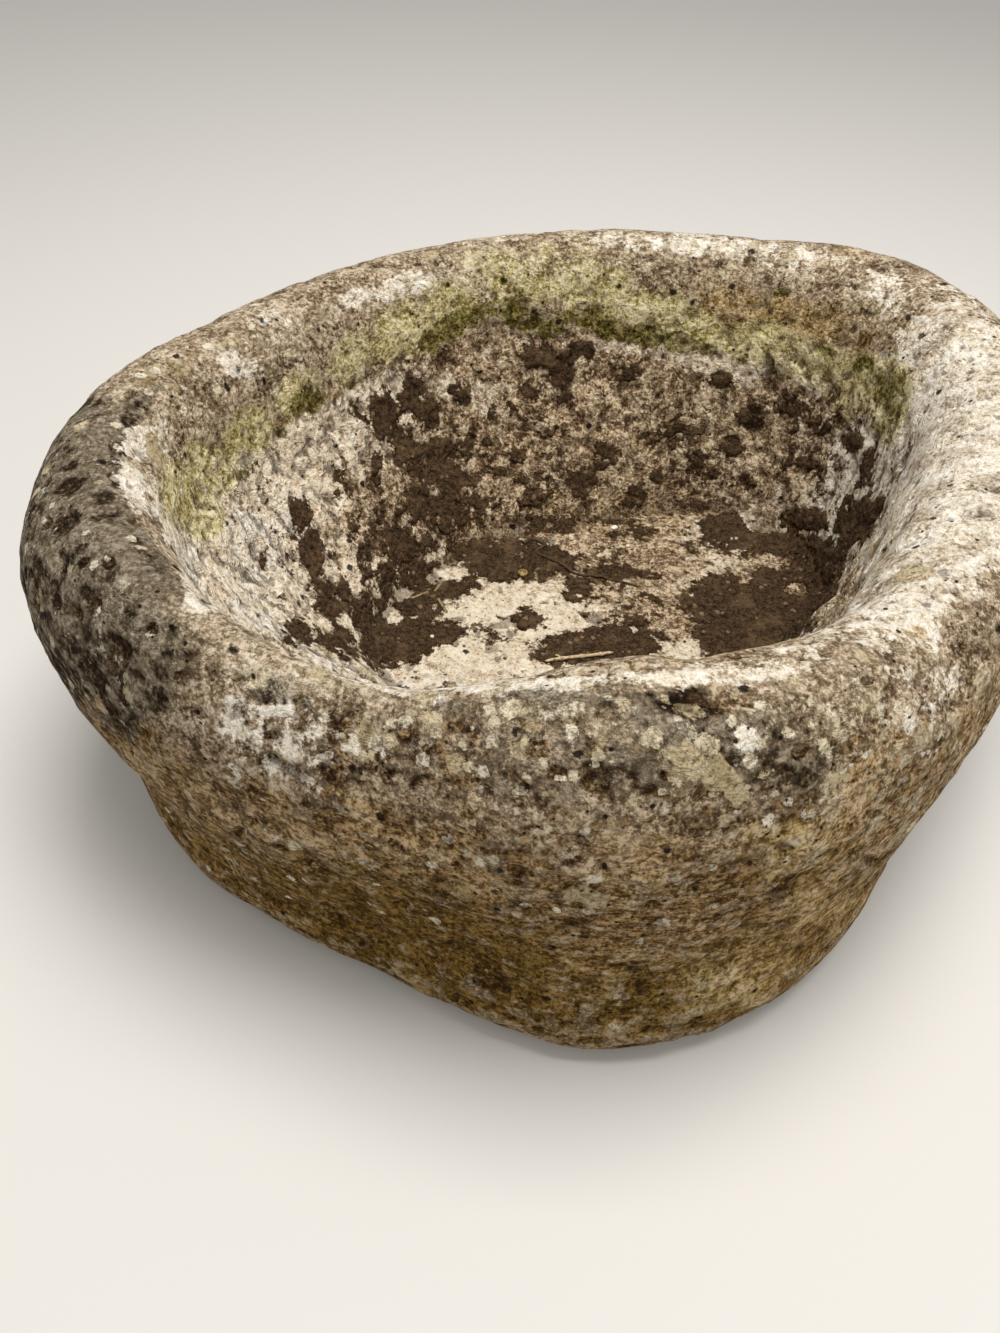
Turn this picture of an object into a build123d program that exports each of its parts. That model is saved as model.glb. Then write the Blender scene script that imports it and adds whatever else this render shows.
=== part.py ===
from build123d import *
from math import cos, sin, radians, hypot
import os

# Carved stone garden trough, with the dried soil and litter that lie in its basin.
# Millimetres. Z is up, the foot stands on Z = 0, the worn front of the rim faces -Y.

# The block, measured at its widest line, the belly
belly_half_width = 270.0
belly_half_depth = 262.0
belly_level = 172.0
height = 230.0

# The rim: from the belly in to the crest, and from the crest in to the mouth
rim_outer_width = 46.0
rim_inner_width = 54.0
crest_dip = 24.0
lip_drop = 8.0
mouth_drop = 46.0

# The foot, undercut most at the back and on the right
foot_undercut = 98.0
foot_round = 10.0
foot_round_in = 18.0

# The basin
floor_thickness = 60.0
basin_slope_in = 90.0
floor_round = 14.0
floor_round_in = 17.0

# Sixteen directions around the block, anticlockwise from +X. The belly outline is
# in shares of its half width and half depth, each other row in shares of the size
# that it follows.
direction_count = 16
belly_shares = (1.05, 1.14, 1.19, 1.06, 0.98, 0.94, 0.92, 0.94,
                1.04, 1.10, 1.03, 0.97, 0.98, 0.97, 0.93, 0.93)
foot_shares = (0.78, 0.93, 1.00, 0.77, 0.67, 0.60, 0.55, 0.50,
               0.42, 0.36, 0.22, 0.16, 0.02, 0.03, 0.15, 0.36)
outer_rim_shares = (1.04, 1.00, 1.00, 1.04, 0.96, 0.94, 0.94, 0.90,
                    0.88, 0.87, 0.65, 0.65, 0.78, 0.84, 0.84, 0.84)
inner_rim_shares = (1.02, 0.95, 0.85, 0.66, 0.70, 0.60, 0.60, 0.65,
                    0.70, 0.70, 0.50, 0.40, 0.84, 0.76, 0.76, 0.90)
dip_shares = (0.30, 0.00, 0.00, 0.10, 0.10, 0.20, 0.20, 0.20,
              0.20, 0.40, 0.65, 1.00, 0.25, 0.35, 0.50, 0.40)
slope_shares = (0.32, 0.26, 0.38, 0.57, 0.63, 0.66, 0.66, 0.72,
                0.84, 0.96, 1.00, 0.94, 0.72, 0.60, 0.52, 0.36)

# How far out from foot to belly the two flank rings stand, and how far up
low_flank_shares = (0.36, 0.33)
high_flank_shares = (0.78, 0.68)
# How far in from belly to crest the outer shoulder stands, and how far up
shoulder_shares = (0.38, 0.75)
# How far in from crest to mouth the lip stands
lip_share = 0.58
# How far in from mouth to floor the wall stands, and how far down, at mid height
# and near its foot; then the same across the cove between wall and floor
wall_shares = (0.38, 0.52)
low_wall_shares = (0.82, 0.86)
cove_shares = (0.36, 0.72)

# Dried soil left in the basin
crust_thickness = 3.0
crust_edge_shares = (1.00, 0.92, 1.06, 0.86, 0.97, 1.08, 0.88, 1.03, 0.84, 0.95)
# Floor crusts: place across and along, reach across and along, turn in degrees.
# Places are in shares of the flat floor's reach on that side, the reaches in shares
# of its reach to the right and to the back.
floor_crust_shares = (
    (-0.73, -0.25, 0.18, 0.22, 15),
    (-0.30, 0.56, 0.23, 0.26, 60),
    (-0.25, 0.05, 0.12, 0.17, 0),
    (0.20, -0.34, 0.26, 0.13, 10),
    (0.41, 0.23, 0.20, 0.19, 35),
    (0.75, -0.03, 0.20, 0.23, 0),
    (0.91, 0.65, 0.17, 0.28, 0),
    (0.60, 0.96, 0.16, 0.10, 170),
)
wall_crust_width = 124.0
# Wall crusts: direction in degrees, height up the wall, reach across and up. The
# reach across is in shares of the crust width, the other two of the wall's height.
left_wall_crust_shares = (
    (170, 0.50, 0.13, 0.28),
    (184, 0.33, 0.12, 0.19),
    (197, 0.40, 0.10, 0.18),
)
corner_crust_shares = (
    (139, 0.66, 0.22, 0.27),
    (144, 0.24, 0.22, 0.12),
    (122, 0.44, 0.12, 0.18),
)
back_wall_crust_shares = (
    (113, 0.76, 0.24, 0.12),
    (92, 0.80, 0.19, 0.14),
    (86, 0.47, 0.24, 0.14),
    (104, 0.33, 0.17, 0.14),
    (70, 0.70, 0.16, 0.10),
    (55, 0.56, 0.20, 0.12),
    (67, 0.23, 0.20, 0.11),
    (43, 0.30, 0.22, 0.09),
)
right_corner_crust_shares = (
    (24, 0.60, 0.24, 0.20),
    (13, 0.26, 0.22, 0.12),
)

# Litter on the floor of the basin. Places are in shares of the flat floor's reach
# on that side.
rest_gap = 0.3
twig_radius = 1.1
twig_point_shares = ((-0.11, -0.39), (0.08, -0.33), (0.22, -0.28))
root_radius = 1.3
root_point_shares = ((-0.25, 0.83), (-0.18, 0.89), (-0.11, 0.83), (-0.17, 0.74), (-0.04, 0.62),
                     (0.06, 0.51), (0.16, 0.50), (0.27, 0.46), (0.38, 0.39))
straw_radius = 0.6
straw_length = 13.0
# Each straw: place across and along, turn in degrees
straw_shares = ((-0.86, 0.21, 35), (-0.72, 0.12, 120), (-0.76, 0.32, 75))
husk_radius = 3.2
husk_height = 2.4
husk_wall = 0.8
husk_place_shares = (-0.25, 0.47)
chip_length = 7.0
chip_width = 4.5
chip_height = 3.0
chip_turn = 25.0
chip_place_shares = (0.28, 1.06)
grit_size = 3.6
grit_on_floor_shares = ((0.34, 0.84), (0.70, -0.38))
grit_on_crust_shares = ((-0.76, -0.19),)


def stepped_in(reaches, size, shares):
    return [reach - size * share for reach, share in zip(reaches, shares)]


def between(start, end, share):
    return [a + (b - a) * share for a, b in zip(start, end)]


def level_ring(level):
    return [level] * direction_count


# Distance from the centre line to each main ring, in the sixteen directions
full_shares = [1] * direction_count
directions = [radians(360.0 * i / direction_count) for i in range(direction_count)]
belly = [
    share * hypot(belly_half_width * cos(angle), belly_half_depth * sin(angle))
    for share, angle in zip(belly_shares, directions)
]
foot = stepped_in(belly, foot_undercut, foot_shares)
crest = stepped_in(belly, rim_outer_width, outer_rim_shares)
mouth = stepped_in(crest, rim_inner_width, inner_rim_shares)
floor = stepped_in(mouth, basin_slope_in, slope_shares)
flat = stepped_in(floor, floor_round_in, full_shares)

# Levels of the same rings, and the sizes of the basin that its contents follow
crest_level = stepped_in(level_ring(height), crest_dip, dip_shares)
belly_levels = stepped_in(level_ring(belly_level), crest_dip, dip_shares)
mouth_level = stepped_in(crest_level, mouth_drop, full_shares)
floor_level = level_ring(floor_thickness)
wall_height = height - mouth_drop - floor_thickness
quarter = direction_count // 4
flat_right, flat_back, flat_left, flat_front = flat[0], flat[quarter], flat[2 * quarter], flat[3 * quarter]


def ring_wire(reaches, levels):
    """Closed smooth line around the block, one point in each direction."""
    points = []
    for angle, reach, level in zip(directions, reaches, levels):
        points.append((reach * cos(angle), reach * sin(angle), level))
    return Wire([Edge.make_spline(points, periodic=True)])


def flank_rings():
    """Rings from the ground up the outside of the block to its belly."""
    foot_level = level_ring(foot_round)
    rings = [(stepped_in(foot, foot_round_in, full_shares), level_ring(0)), (foot, foot_level)]
    for reach_share, level_share in (low_flank_shares, high_flank_shares):
        rings.append((between(foot, belly, reach_share), between(foot_level, belly_levels, level_share)))
    return rings + [(belly, belly_levels)]


def rim_rings():
    """Rings over the rolled rim, from its outer shoulder to the mouth."""
    reach_share, level_share = shoulder_shares
    shoulder = between(belly, crest, reach_share)
    return [
        (shoulder, between(belly_levels, crest_level, level_share)),
        (crest, crest_level),
        (between(crest, mouth, lip_share), stepped_in(crest_level, lip_drop, full_shares)),
        (mouth, mouth_level),
    ]


def basin_rings():
    """Rings down the wall of the basin and across the cove to the flat floor."""
    cove_level = level_ring(floor_thickness + floor_round)
    rings = []
    for reach_share, level_share in (wall_shares, low_wall_shares):
        rings.append((between(mouth, floor, reach_share), between(mouth_level, cove_level, level_share)))
    reach_share, level_share = cove_shares
    return rings + [
        (floor, cove_level),
        (between(floor, flat, reach_share), between(cove_level, floor_level, level_share)),
        (flat, floor_level),
    ]


def make_block():
    rings = flank_rings() + rim_rings() + basin_rings()
    return Solid.make_loft([ring_wire(reaches, levels) for reaches, levels in rings])


def crust_outline(reach_across, reach_along):
    """Ragged closed outline of a soil crust, drawn about its own centre."""
    points = []
    for i, share in enumerate(crust_edge_shares):
        angle = radians(360.0 * i / len(crust_edge_shares))
        points.append((share * reach_across * cos(angle), share * reach_along * sin(angle)))
    return Face(Wire([Edge.make_spline(points, periodic=True)]))


def floor_place(across, along, lift):
    """A place on the flat floor, in shares of its reach on that side."""
    reach_across = flat_right if across > 0 else flat_left
    reach_along = flat_back if along > 0 else flat_front
    return (across * reach_across, along * reach_along, floor_thickness + lift)


def make_floor_crusts(block):
    """Thin crusts lying on the flat of the floor, short of the wall."""
    crusts = []
    for across, along, reach_across, reach_along, turn in floor_crust_shares:
        outline = crust_outline(reach_across * flat_right, reach_along * flat_back)
        slab = Solid.extrude(outline, Vector(0, 0, crust_thickness - rest_gap))
        crusts.append(slab.moved(Location(floor_place(across, along, rest_gap), (0, 0, turn))) - block)
    return crusts


def make_wall_crusts(block, crust_shares):
    """Crusts that follow the wall: the wall itself moved in by the crust's
    thickness and cut to a ragged outline, less the wall moved in by the rest gap."""
    crusts = []
    for direction, up, reach_across, reach_up in crust_shares:
        outward = Vector(cos(radians(direction)), sin(radians(direction)), 0)
        outline = crust_outline(reach_across * wall_crust_width, reach_up * wall_height)
        cutter = Solid.extrude(outline, Vector(0, 0, belly_half_width))
        level = floor_thickness + up * wall_height
        facing = Plane(origin=(0, 0, level), x_dir=(-outward.Y, outward.X, 0), z_dir=outward)
        face_wall = block.moved(Location(outward * -crust_thickness))
        backing = block.moved(Location(outward * -rest_gap))
        crusts.append((face_wall & facing.location * cutter) - backing)
    return crusts


def make_stick(points, radius):
    """A thin round stick or root swept along its points."""
    path = Edge.make_line(*points) if len(points) == 2 else Edge.make_spline(points)
    section = Face(Wire([Edge.make_circle(radius, Plane(origin=points[0], z_dir=path % 0))]))
    return Solid.sweep(section, Wire([path]))


def on_floor(radius=0):
    return rest_gap + radius


def on_crust(radius=0):
    return crust_thickness + rest_gap + radius


def make_twig():
    points = [Vector(*floor_place(*place, on_crust(twig_radius))) for place in twig_point_shares]
    return make_stick(points, twig_radius)


def make_root():
    points = [Vector(*floor_place(*place, on_crust(root_radius))) for place in root_point_shares]
    return make_stick(points, root_radius)


def make_straws():
    straws = []
    for across, along, turn in straw_shares:
        middle = Vector(*floor_place(across, along, on_floor(straw_radius)))
        half = Vector(cos(radians(turn)), sin(radians(turn)), 0) * (straw_length / 2)
        straws.append(make_stick([middle - half, middle + half], straw_radius))
    return straws


def make_husk():
    """A dry seed cup, open at the top."""
    cup = Solid.make_cylinder(husk_radius, husk_height)
    hollow = Solid.make_cylinder(husk_radius - husk_wall, husk_height)
    cup = cup - hollow.moved(Location((0, 0, husk_wall)))
    return cup.moved(Location(floor_place(*husk_place_shares, on_crust())))


def make_nugget(length, width, depth):
    """A worn chip of stone: a small block with its corners cut."""
    nugget = Solid.make_box(length, width, depth).moved(Location((-length / 2, -width / 2, 0)))
    return nugget.chamfer(width / 4, None, nugget.edges().filter_by(Axis.Z))


def make_chip():
    place = Location(floor_place(*chip_place_shares, on_floor()), (0, 0, chip_turn))
    return make_nugget(chip_length, chip_width, chip_height).moved(place)


def make_grit():
    places = [floor_place(*place, on_floor()) for place in grit_on_floor_shares]
    places += [floor_place(*place, on_crust()) for place in grit_on_crust_shares]
    return [make_nugget(grit_size, grit_size, grit_size / 2).moved(Location(place)) for place in places]


def save(name, pieces):
    """Write one node: a single solid, or a group of separate ones."""
    shape = Compound(children=pieces) if isinstance(pieces, list) else pieces
    shape.label = name
    export_step(shape, f"parts/{name}.step")
    print(name, "solids", len(shape.solids()), "volume", round(shape.volume, 1))


os.makedirs("parts", exist_ok=True)
block = make_block()
save("stone_trough", block)
save("soil_crust_floor", make_floor_crusts(block))
save("soil_crust_left_wall", make_wall_crusts(block, left_wall_crust_shares))
save("soil_crust_back_left_corner", make_wall_crusts(block, corner_crust_shares))
save("soil_crust_back_wall", make_wall_crusts(block, back_wall_crust_shares))
save("soil_crust_right_corner", make_wall_crusts(block, right_corner_crust_shares))
save("twig", make_twig())
save("root", make_root())
save("straw_bits", make_straws())
save("seed_husk", make_husk())
save("white_stone_chip", make_chip())
save("grit_crumbs", make_grit())
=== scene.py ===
# %% [markdown]
# # A weathered stone garden trough
#
# This lesson dresses a carved stone trough. The solid model gives the block, the
# crusts of dried soil and the bits of dry litter in their real sizes, and this
# script gives them the skin that many years outdoors leave: pick marks, pits,
# lichen, algae, worn edges and soil. The first cell loads the solids as a fixed frame.

# %% Load the frame
from math import cos, exp, pi, radians, sin
import bpy
import bmesh
import numpy as np
from mathutils import Matrix, Vector
from mathutils.bvhtree import BVHTree
from mathutils.noise import noise as noise_value


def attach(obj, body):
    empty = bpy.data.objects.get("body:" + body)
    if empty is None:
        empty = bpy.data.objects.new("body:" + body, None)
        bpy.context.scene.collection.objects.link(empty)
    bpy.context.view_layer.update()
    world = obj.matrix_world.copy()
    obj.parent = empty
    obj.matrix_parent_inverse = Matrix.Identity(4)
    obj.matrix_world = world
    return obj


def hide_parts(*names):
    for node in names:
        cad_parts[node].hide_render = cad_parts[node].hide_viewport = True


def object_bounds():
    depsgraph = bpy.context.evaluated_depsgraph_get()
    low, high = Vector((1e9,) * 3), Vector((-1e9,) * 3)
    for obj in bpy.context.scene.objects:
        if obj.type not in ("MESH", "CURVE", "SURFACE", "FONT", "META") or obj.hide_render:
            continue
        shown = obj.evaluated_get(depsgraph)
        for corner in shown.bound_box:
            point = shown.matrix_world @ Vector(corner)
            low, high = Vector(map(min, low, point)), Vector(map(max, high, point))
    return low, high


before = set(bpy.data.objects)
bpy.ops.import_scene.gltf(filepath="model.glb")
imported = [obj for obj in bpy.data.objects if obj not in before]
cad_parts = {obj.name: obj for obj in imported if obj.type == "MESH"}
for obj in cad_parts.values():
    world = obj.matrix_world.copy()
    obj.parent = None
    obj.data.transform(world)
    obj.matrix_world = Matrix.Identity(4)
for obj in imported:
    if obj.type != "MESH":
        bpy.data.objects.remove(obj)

cad_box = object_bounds()
print("solids", sorted(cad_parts))
print("box in mm", [[round(1000 * c) for c in corner] for corner in cad_box])

# %% [markdown]
# ## The camera
#
# The photograph was taken from above the front rim, looking down into the basin. The
# camera comes first, because the stains are placed by where they show in the picture.
# Its three directions (right, down and ahead in the picture) are kept as vectors, so
# that the same numbers place the camera and turn a point of the stone into a pixel.

# %% Camera at the photograph's viewing angle
camera_place = np.array([-0.040, -0.478, 0.490])
looking_down, roll = radians(44.5), radians(-2.6)
ahead = np.array([0.0, cos(looking_down), -sin(looking_down)])
level_right = np.array([1.0, 0.0, 0.0])
level_down = np.cross(ahead, level_right)
picture_right = cos(roll) * level_right + sin(roll) * level_down
picture_down = -sin(roll) * level_right + cos(roll) * level_down
picture_size, pixels_per_unit = (1000, 1333), 1000.0

camera = bpy.data.objects.new("camera", bpy.data.cameras.new("camera"))
bpy.context.scene.collection.objects.link(camera)
bpy.context.scene.camera = camera
axes = np.column_stack([picture_right, -picture_down, -ahead])
camera.matrix_world = Matrix.Translation(Vector(camera_place)) @ Matrix(axes.tolist()).to_4x4()
camera.data.sensor_fit = "VERTICAL"
camera.data.sensor_height = 36.0
camera.data.lens = 36.0 * pixels_per_unit / picture_size[1]
camera.data.clip_start = 0.01


def pixel_of(points):
    """Where points of the model show in the photograph, in its own pixels."""
    seen = points - camera_place
    depth = seen @ ahead
    across = picture_size[0] / 2 + pixels_per_unit * (seen @ picture_right) / depth
    return across, picture_size[1] / 2 + pixels_per_unit * (seen @ picture_down) / depth


print("lens", round(camera.data.lens, 2), "mm")

# %% [markdown]
# ## Small helpers for meshes
#
# A mesh's numbers are read and written as whole arrays, which is quick. A finished
# piece has no live modifiers: what they make is turned into a plain mesh.

# %% Mesh helpers
def add_piece(name, mesh):
    piece = bpy.data.objects.new(name, mesh)
    bpy.context.scene.collection.objects.link(piece)
    return piece


def settle(piece):
    """Turn what the modifiers make into the piece's own plain mesh."""
    depsgraph = bpy.context.evaluated_depsgraph_get()
    plain = bpy.data.meshes.new_from_object(
        piece.evaluated_get(depsgraph), preserve_all_data_layers=True, depsgraph=depsgraph)
    piece.modifiers.clear()
    piece.data = plain
    return plain


def vertex_places(mesh):
    places = np.empty(len(mesh.vertices) * 3)
    mesh.vertices.foreach_get("co", places)
    return places.reshape(-1, 3)


def vertex_normals(mesh):
    normals = np.empty(len(mesh.vertices) * 3)
    mesh.vertex_normals.foreach_get("vector", normals)
    return normals.reshape(-1, 3)


def keep_mask(mesh, name, values):
    """Store one number for each vertex, which nodes read by its name."""
    if name in mesh.attributes:
        mesh.attributes.remove(mesh.attributes[name])
    mesh.attributes.new(name, "FLOAT", "POINT").data.foreach_set("value", values.astype(np.float32))


def triangle_count(mesh):
    return sum(len(face.vertices) - 2 for face in mesh.polygons)


def shade_smooth(mesh):
    for face in mesh.polygons:
        face.use_smooth = True


def smooth_step(low, high, values):
    share = np.clip((values - low) / (high - low), 0, 1)
    return share * share * (3 - 2 * share)


# %% [markdown]
# ## Small helpers for node trees
#
# Materials and Geometry Nodes trees are wired by the same few functions. A value
# given to a socket is either a plain number or colour, or the output of another node.

# %% Node helpers
def put(tree, kind, inputs=None, **settings):
    """Add a node, set what it is given and wire what is an output."""
    node = tree.nodes.new(kind)
    for name, value in settings.items():
        setattr(node, name, value)
    for key, value in (inputs or {}).items():
        if isinstance(value, bpy.types.NodeSocket):
            tree.links.new(value, node.inputs[key])
        else:
            node.inputs[key].default_value = value
    return node


def calc(tree, operation, a, b=0.0, clamp=False):
    return put(tree, "ShaderNodeMath", {0: a, 1: b}, operation=operation, use_clamp=clamp).outputs[0]


def step(tree, value, low, high, start=0.0, end=1.0):
    """A soft step from start to end as the value goes from low to high."""
    wired = {"Value": value, "From Min": low, "From Max": high, "To Min": start, "To Max": end}
    return put(tree, "ShaderNodeMapRange", wired, interpolation_type="SMOOTHSTEP").outputs["Result"]


def blend(tree, share, first, second):
    """Two colours mixed. A Mix node keeps the sockets of its colour form at 6 and 7."""
    return put(tree, "ShaderNodeMix", {0: share, 6: first, 7: second}, data_type="RGBA").outputs[2]


def noise(tree, vector, scale, detail=4.0, roughness=0.6, distortion=0.0):
    wired = {"Vector": vector, "Scale": scale, "Detail": detail, "Roughness": roughness,
             "Distortion": distortion}
    return put(tree, "ShaderNodeTexNoise", wired).outputs[0]


def stretched(tree, vector, x, y, z):
    return put(tree, "ShaderNodeVectorMath", {0: vector, 1: (x, y, z)}, operation="MULTIPLY").outputs[0]


def new_group(name, kind, inputs, outputs):
    """A node group with named sockets; returns the tree, its inputs and its output node."""
    tree = bpy.data.node_groups.new(name, kind)
    for label, socket, value in inputs:
        made = tree.interface.new_socket(label, in_out="INPUT", socket_type=socket)
        if value is not None:
            made.default_value = value
    for label, socket in outputs:
        tree.interface.new_socket(label, in_out="OUTPUT", socket_type=socket)
    return tree, tree.nodes.new("NodeGroupInput").outputs, tree.nodes.new("NodeGroupOutput")


FLOAT, VECTOR, GEOMETRY, MATERIAL = (
    "NodeSocketFloat", "NodeSocketVector", "NodeSocketGeometry", "NodeSocketMaterial")


def add_nodes_modifier(piece, tree, values):
    """Put a Geometry Nodes tree on a piece. Its inputs are set by their identifiers."""
    modifier = piece.modifiers.new(tree.name, "NODES")
    modifier.node_group = tree
    for item in tree.interface.items_tree:
        if item.item_type == "SOCKET" and item.in_out == "INPUT" and item.name in values:
            modifier[item.identifier] = values[item.name]


def shaping_tree(name, sizes):
    """A Geometry Nodes tree with an input for each size and one for the material."""
    return new_group(
        name, "GeometryNodeTree",
        [("Geometry", GEOMETRY, None)] + [(label, FLOAT, value) for label, value in sizes.items()]
        + [("Material", MATERIAL, None)], [("Geometry", GEOMETRY)])


def end_tree(tree, geometry, material, out):
    """Realize Instances and Set Material, which a tree needs at its end for the export."""
    whole = put(tree, "GeometryNodeRealizeInstances", {0: geometry})
    dressed = put(tree, "GeometryNodeSetMaterial", {"Geometry": whole.outputs[0], "Material": material})
    tree.links.new(dressed.outputs[0], out.inputs[0])


def paint(red, green, blue):
    """A colour as it looks on screen, 0 to 255, as the plain light value nodes want."""
    return tuple(((c / 255 + 0.055) / 1.055) ** 2.4 if c > 10 else c / 255 / 12.92
                 for c in (red, green, blue)) + (1.0,)


# %% [markdown]
# ## The block, as an even grid of faces
#
# The solid's own faces are long and thin where it is flat. Weathering needs small
# faces of one size everywhere, so a copy of the solid is merged and rebuilt on a
# grid of a few millimetres. Subdividing would keep the long faces, and sculpting by
# hand couldn't be repeated by a script.

# %% Copy the solid and rebuild it on an even grid
grid_size = 0.0023


def merged_copy(node):
    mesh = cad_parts[node].data.copy()
    shape = bmesh.new()
    shape.from_mesh(mesh)
    bmesh.ops.remove_doubles(shape, verts=shape.verts, dist=1e-6)
    bmesh.ops.recalc_face_normals(shape, faces=shape.faces)
    shape.to_mesh(mesh)
    shape.free()
    mesh.materials.clear()
    return mesh


stone = add_piece("carved_stone_trough", merged_copy("stone_trough"))
even_grid = stone.modifiers.new("even grid", "REMESH")
even_grid.mode, even_grid.voxel_size, even_grid.use_smooth_shade = "VOXEL", grid_size, True
settle(stone)
print("grid faces", len(stone.data.polygons))

# %% [markdown]
# ## Where on the block a point lies
#
# Growth and wear follow the form: algae sits in a band under the rim, lichen likes
# the crown, soil lies in the basin. The crest line, the highest point in each
# direction around the block, tells inside from outside.

# %% The crest line and the distance from it
directions = 180


def find_crest(places):
    """Distance of the rim's highest line from the middle, in each direction."""
    turn = np.arctan2(places[:, 1], places[:, 0]) % (2 * pi)
    bins = (turn / (2 * pi) * directions).astype(int) % directions
    reach = np.hypot(places[:, 0], places[:, 1])
    crest = np.zeros(directions)
    for i in range(directions):
        here = np.flatnonzero(bins == i)
        crest[i] = reach[here[np.argmax(places[here, 2])]]
    rolled = [np.roll(crest, shift) for shift in range(-4, 5)]
    return np.mean(rolled, axis=0)


crest_reach = find_crest(vertex_places(stone.data))
crest_turn = (np.arange(directions) + 0.5) / directions * 2 * pi


def past_crest(places):
    """How far outside the crest line a point is; inside the basin it is negative."""
    turn = np.arctan2(places[:, 1], places[:, 0]) % (2 * pi)
    return np.hypot(places[:, 0], places[:, 1]) - np.interp(turn, crest_turn, crest_reach, period=2 * pi)


def inside_basin(places, normals):
    """1 on the basin's wall and floor, 0 on the outside, with a soft change at the crest."""
    outward = places[:, :2] / np.linalg.norm(places[:, :2], axis=1)[:, None]
    leaning = (normals[:, :2] * outward).sum(1)
    inside = smooth_step(0.0, -0.020, past_crest(places)) * smooth_step(0.60, 0.25, leaning)
    return inside * smooth_step(0.045, 0.052, places[:, 2])


print("crest reach in mm", [round(1000 * crest_reach[i]) for i in range(0, directions, 15)])

# %% [markdown]
# ## Patches placed by the photograph
#
# A patch is an oval in the photograph: its middle, half width, half height, turn in
# degrees and strength. A mask has its patch's strength in the middle, half of it at
# the edge and 0 well outside. The nodes later break these soft ovals up with noise,
# so that each stain gets its own ragged outline. A patch counts only on the side of
# the crest that it is meant for, and only where the surface faces the camera.

# %% From patches to masks
def facing_camera(places, normals):
    to_camera = camera_place - places
    to_camera /= np.linalg.norm(to_camera, axis=1)[:, None]
    return smooth_step(-0.10, 0.10, (normals * to_camera).sum(1))


def patch_mask(places, facing, inside, patches, side):
    across, down = pixel_of(places)
    if side == "basin":
        facing = facing * smooth_step(0.1, 0.5, inside)
    elif side == "outside":
        facing = facing * smooth_step(0.99, 0.8, inside)
    mask = np.zeros(len(places))
    for x, y, half_width, half_height, turn, strength in patches:
        dx, dy = across - x, down - y
        along = dx * cos(radians(turn)) + dy * sin(radians(turn))
        square = -dx * sin(radians(turn)) + dy * cos(radians(turn))
        away = np.hypot(along / half_width, square / half_height)
        mask = np.maximum(mask, strength * smooth_step(1.7, 0.3, away))
    return mask * facing


# %% [markdown]
# ## Chips and hollows in the block
#
# A few forms are larger than weathering: a chip under the left of the rim, the flat
# facet low on the front left, a deep hole on the right and some small ones. They are
# cut into the grid as patches with a depth, before the fine skin goes on.

# %% Cut the larger chips
chips = {
    0.0030: [(278, 768, 30, 9, 24, 1.0), (222, 602, 20, 7, 20, 1.0)],
    0.0022: [(440, 945, 135, 45, 22, 1.0), (700, 700, 40, 14, 0, 0.8)],
    0.0050: [(869, 680, 6, 6, 0, 1.0)],
    0.0028: [(601, 869, 5, 5, 0, 1.0), (872, 862, 7, 5, 0, 1.0), (787, 850, 9, 5, 0, 0.8),
             (522, 788, 5, 4, 0, 0.8), (667, 776, 4, 4, 0, 1.0), (238, 834, 6, 4, 0, 0.9)],
}
places, normals = vertex_places(stone.data), vertex_normals(stone.data)
facing, inside = facing_camera(places, normals), inside_basin(places, normals)
cut = np.zeros(len(places))
for depth, patches in chips.items():
    cut = np.maximum(cut, depth * patch_mask(places, facing, inside, patches, "outside"))
keep_mask(stone.data, "cut", cut)
keep_mask(stone.data, "inside", inside)
print("deepest cut in mm", round(1000 * cut.max(), 1))

# %% [markdown]
# ## The weathered skin
#
# A real trough like this was worked with a pick and then eroded. Several kinds of
# form lie over each other: soft lumps, rounded pick dents, beds of harder and softer
# stone that run level round the outside, small pits and grit. Inside, the wall still
# shows the short slanting strokes of the pick, with broken crags between them. They
# are made with Geometry Nodes, because each is one texture with a size and a depth.
# The surface is first raised by about the forms' mean depth, so that the block keeps
# its real size, and the flat underside stays flat.

# %% The skin as a Geometry Nodes tree
skin_sizes = {
    "Lump Size": 0.052, "Lump Depth": 0.0052,
    "Dent Size": 0.017, "Dent Depth": 0.0022,
    "Bed Size": 0.030, "Bed Depth": 0.0016,
    "Pit Size": 0.013, "Pit Depth": 0.0020,
    "Grit Size": 0.0065, "Grit Depth": 0.0016,
    "Stroke Size": 0.0150, "Stroke Depth": 0.0036, "Crag Size": 0.020, "Crag Depth": 0.0090,
    "Rise": 0.0041,
}
skin, size, out = shaping_tree("weathered skin", skin_sizes)
place = skin.nodes.new("GeometryNodeInputPosition").outputs[0]
height = put(skin, "ShaderNodeSeparateXYZ", {0: place}).outputs["Z"]


def per(name):
    return calc(skin, "DIVIDE", 1.0, size[name])


def named(tree, name):
    return put(tree, "GeometryNodeInputNamedAttribute", {"Name": name}, data_type="FLOAT").outputs[0]


basin = step(skin, named(skin, "inside"), 0.3, 1.0)
lumps = noise(skin, place, per("Lump Size"), 2.0, 0.5)
cells = put(skin, "ShaderNodeTexVoronoi", {"Vector": place, "Scale": per("Dent Size")},
            feature="SMOOTH_F1")
dents = calc(skin, "MULTIPLY", step(skin, cells.outputs["Distance"], 0.0, 0.75, 1.0, 0.0),
             step(skin, noise(skin, place, 22.0, 2.0), 0.40, 0.62))
beds = noise(skin, stretched(skin, place, 1.0, 1.0, 4.5), per("Bed Size"), 3.0, 0.55, 0.3)
beds = calc(skin, "MULTIPLY", beds, step(skin, basin, 0.0, 1.0, 1.0, 0.25))
holes = put(skin, "ShaderNodeTexVoronoi", {"Vector": place, "Scale": per("Pit Size")})
chosen = put(skin, "FunctionNodeSeparateColor", {0: holes.outputs["Color"]}).outputs[0]
pits = calc(skin, "MULTIPLY", step(skin, holes.outputs["Distance"], 0.34, 0.08),
            step(skin, chosen, 0.62, 0.72))
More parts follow.
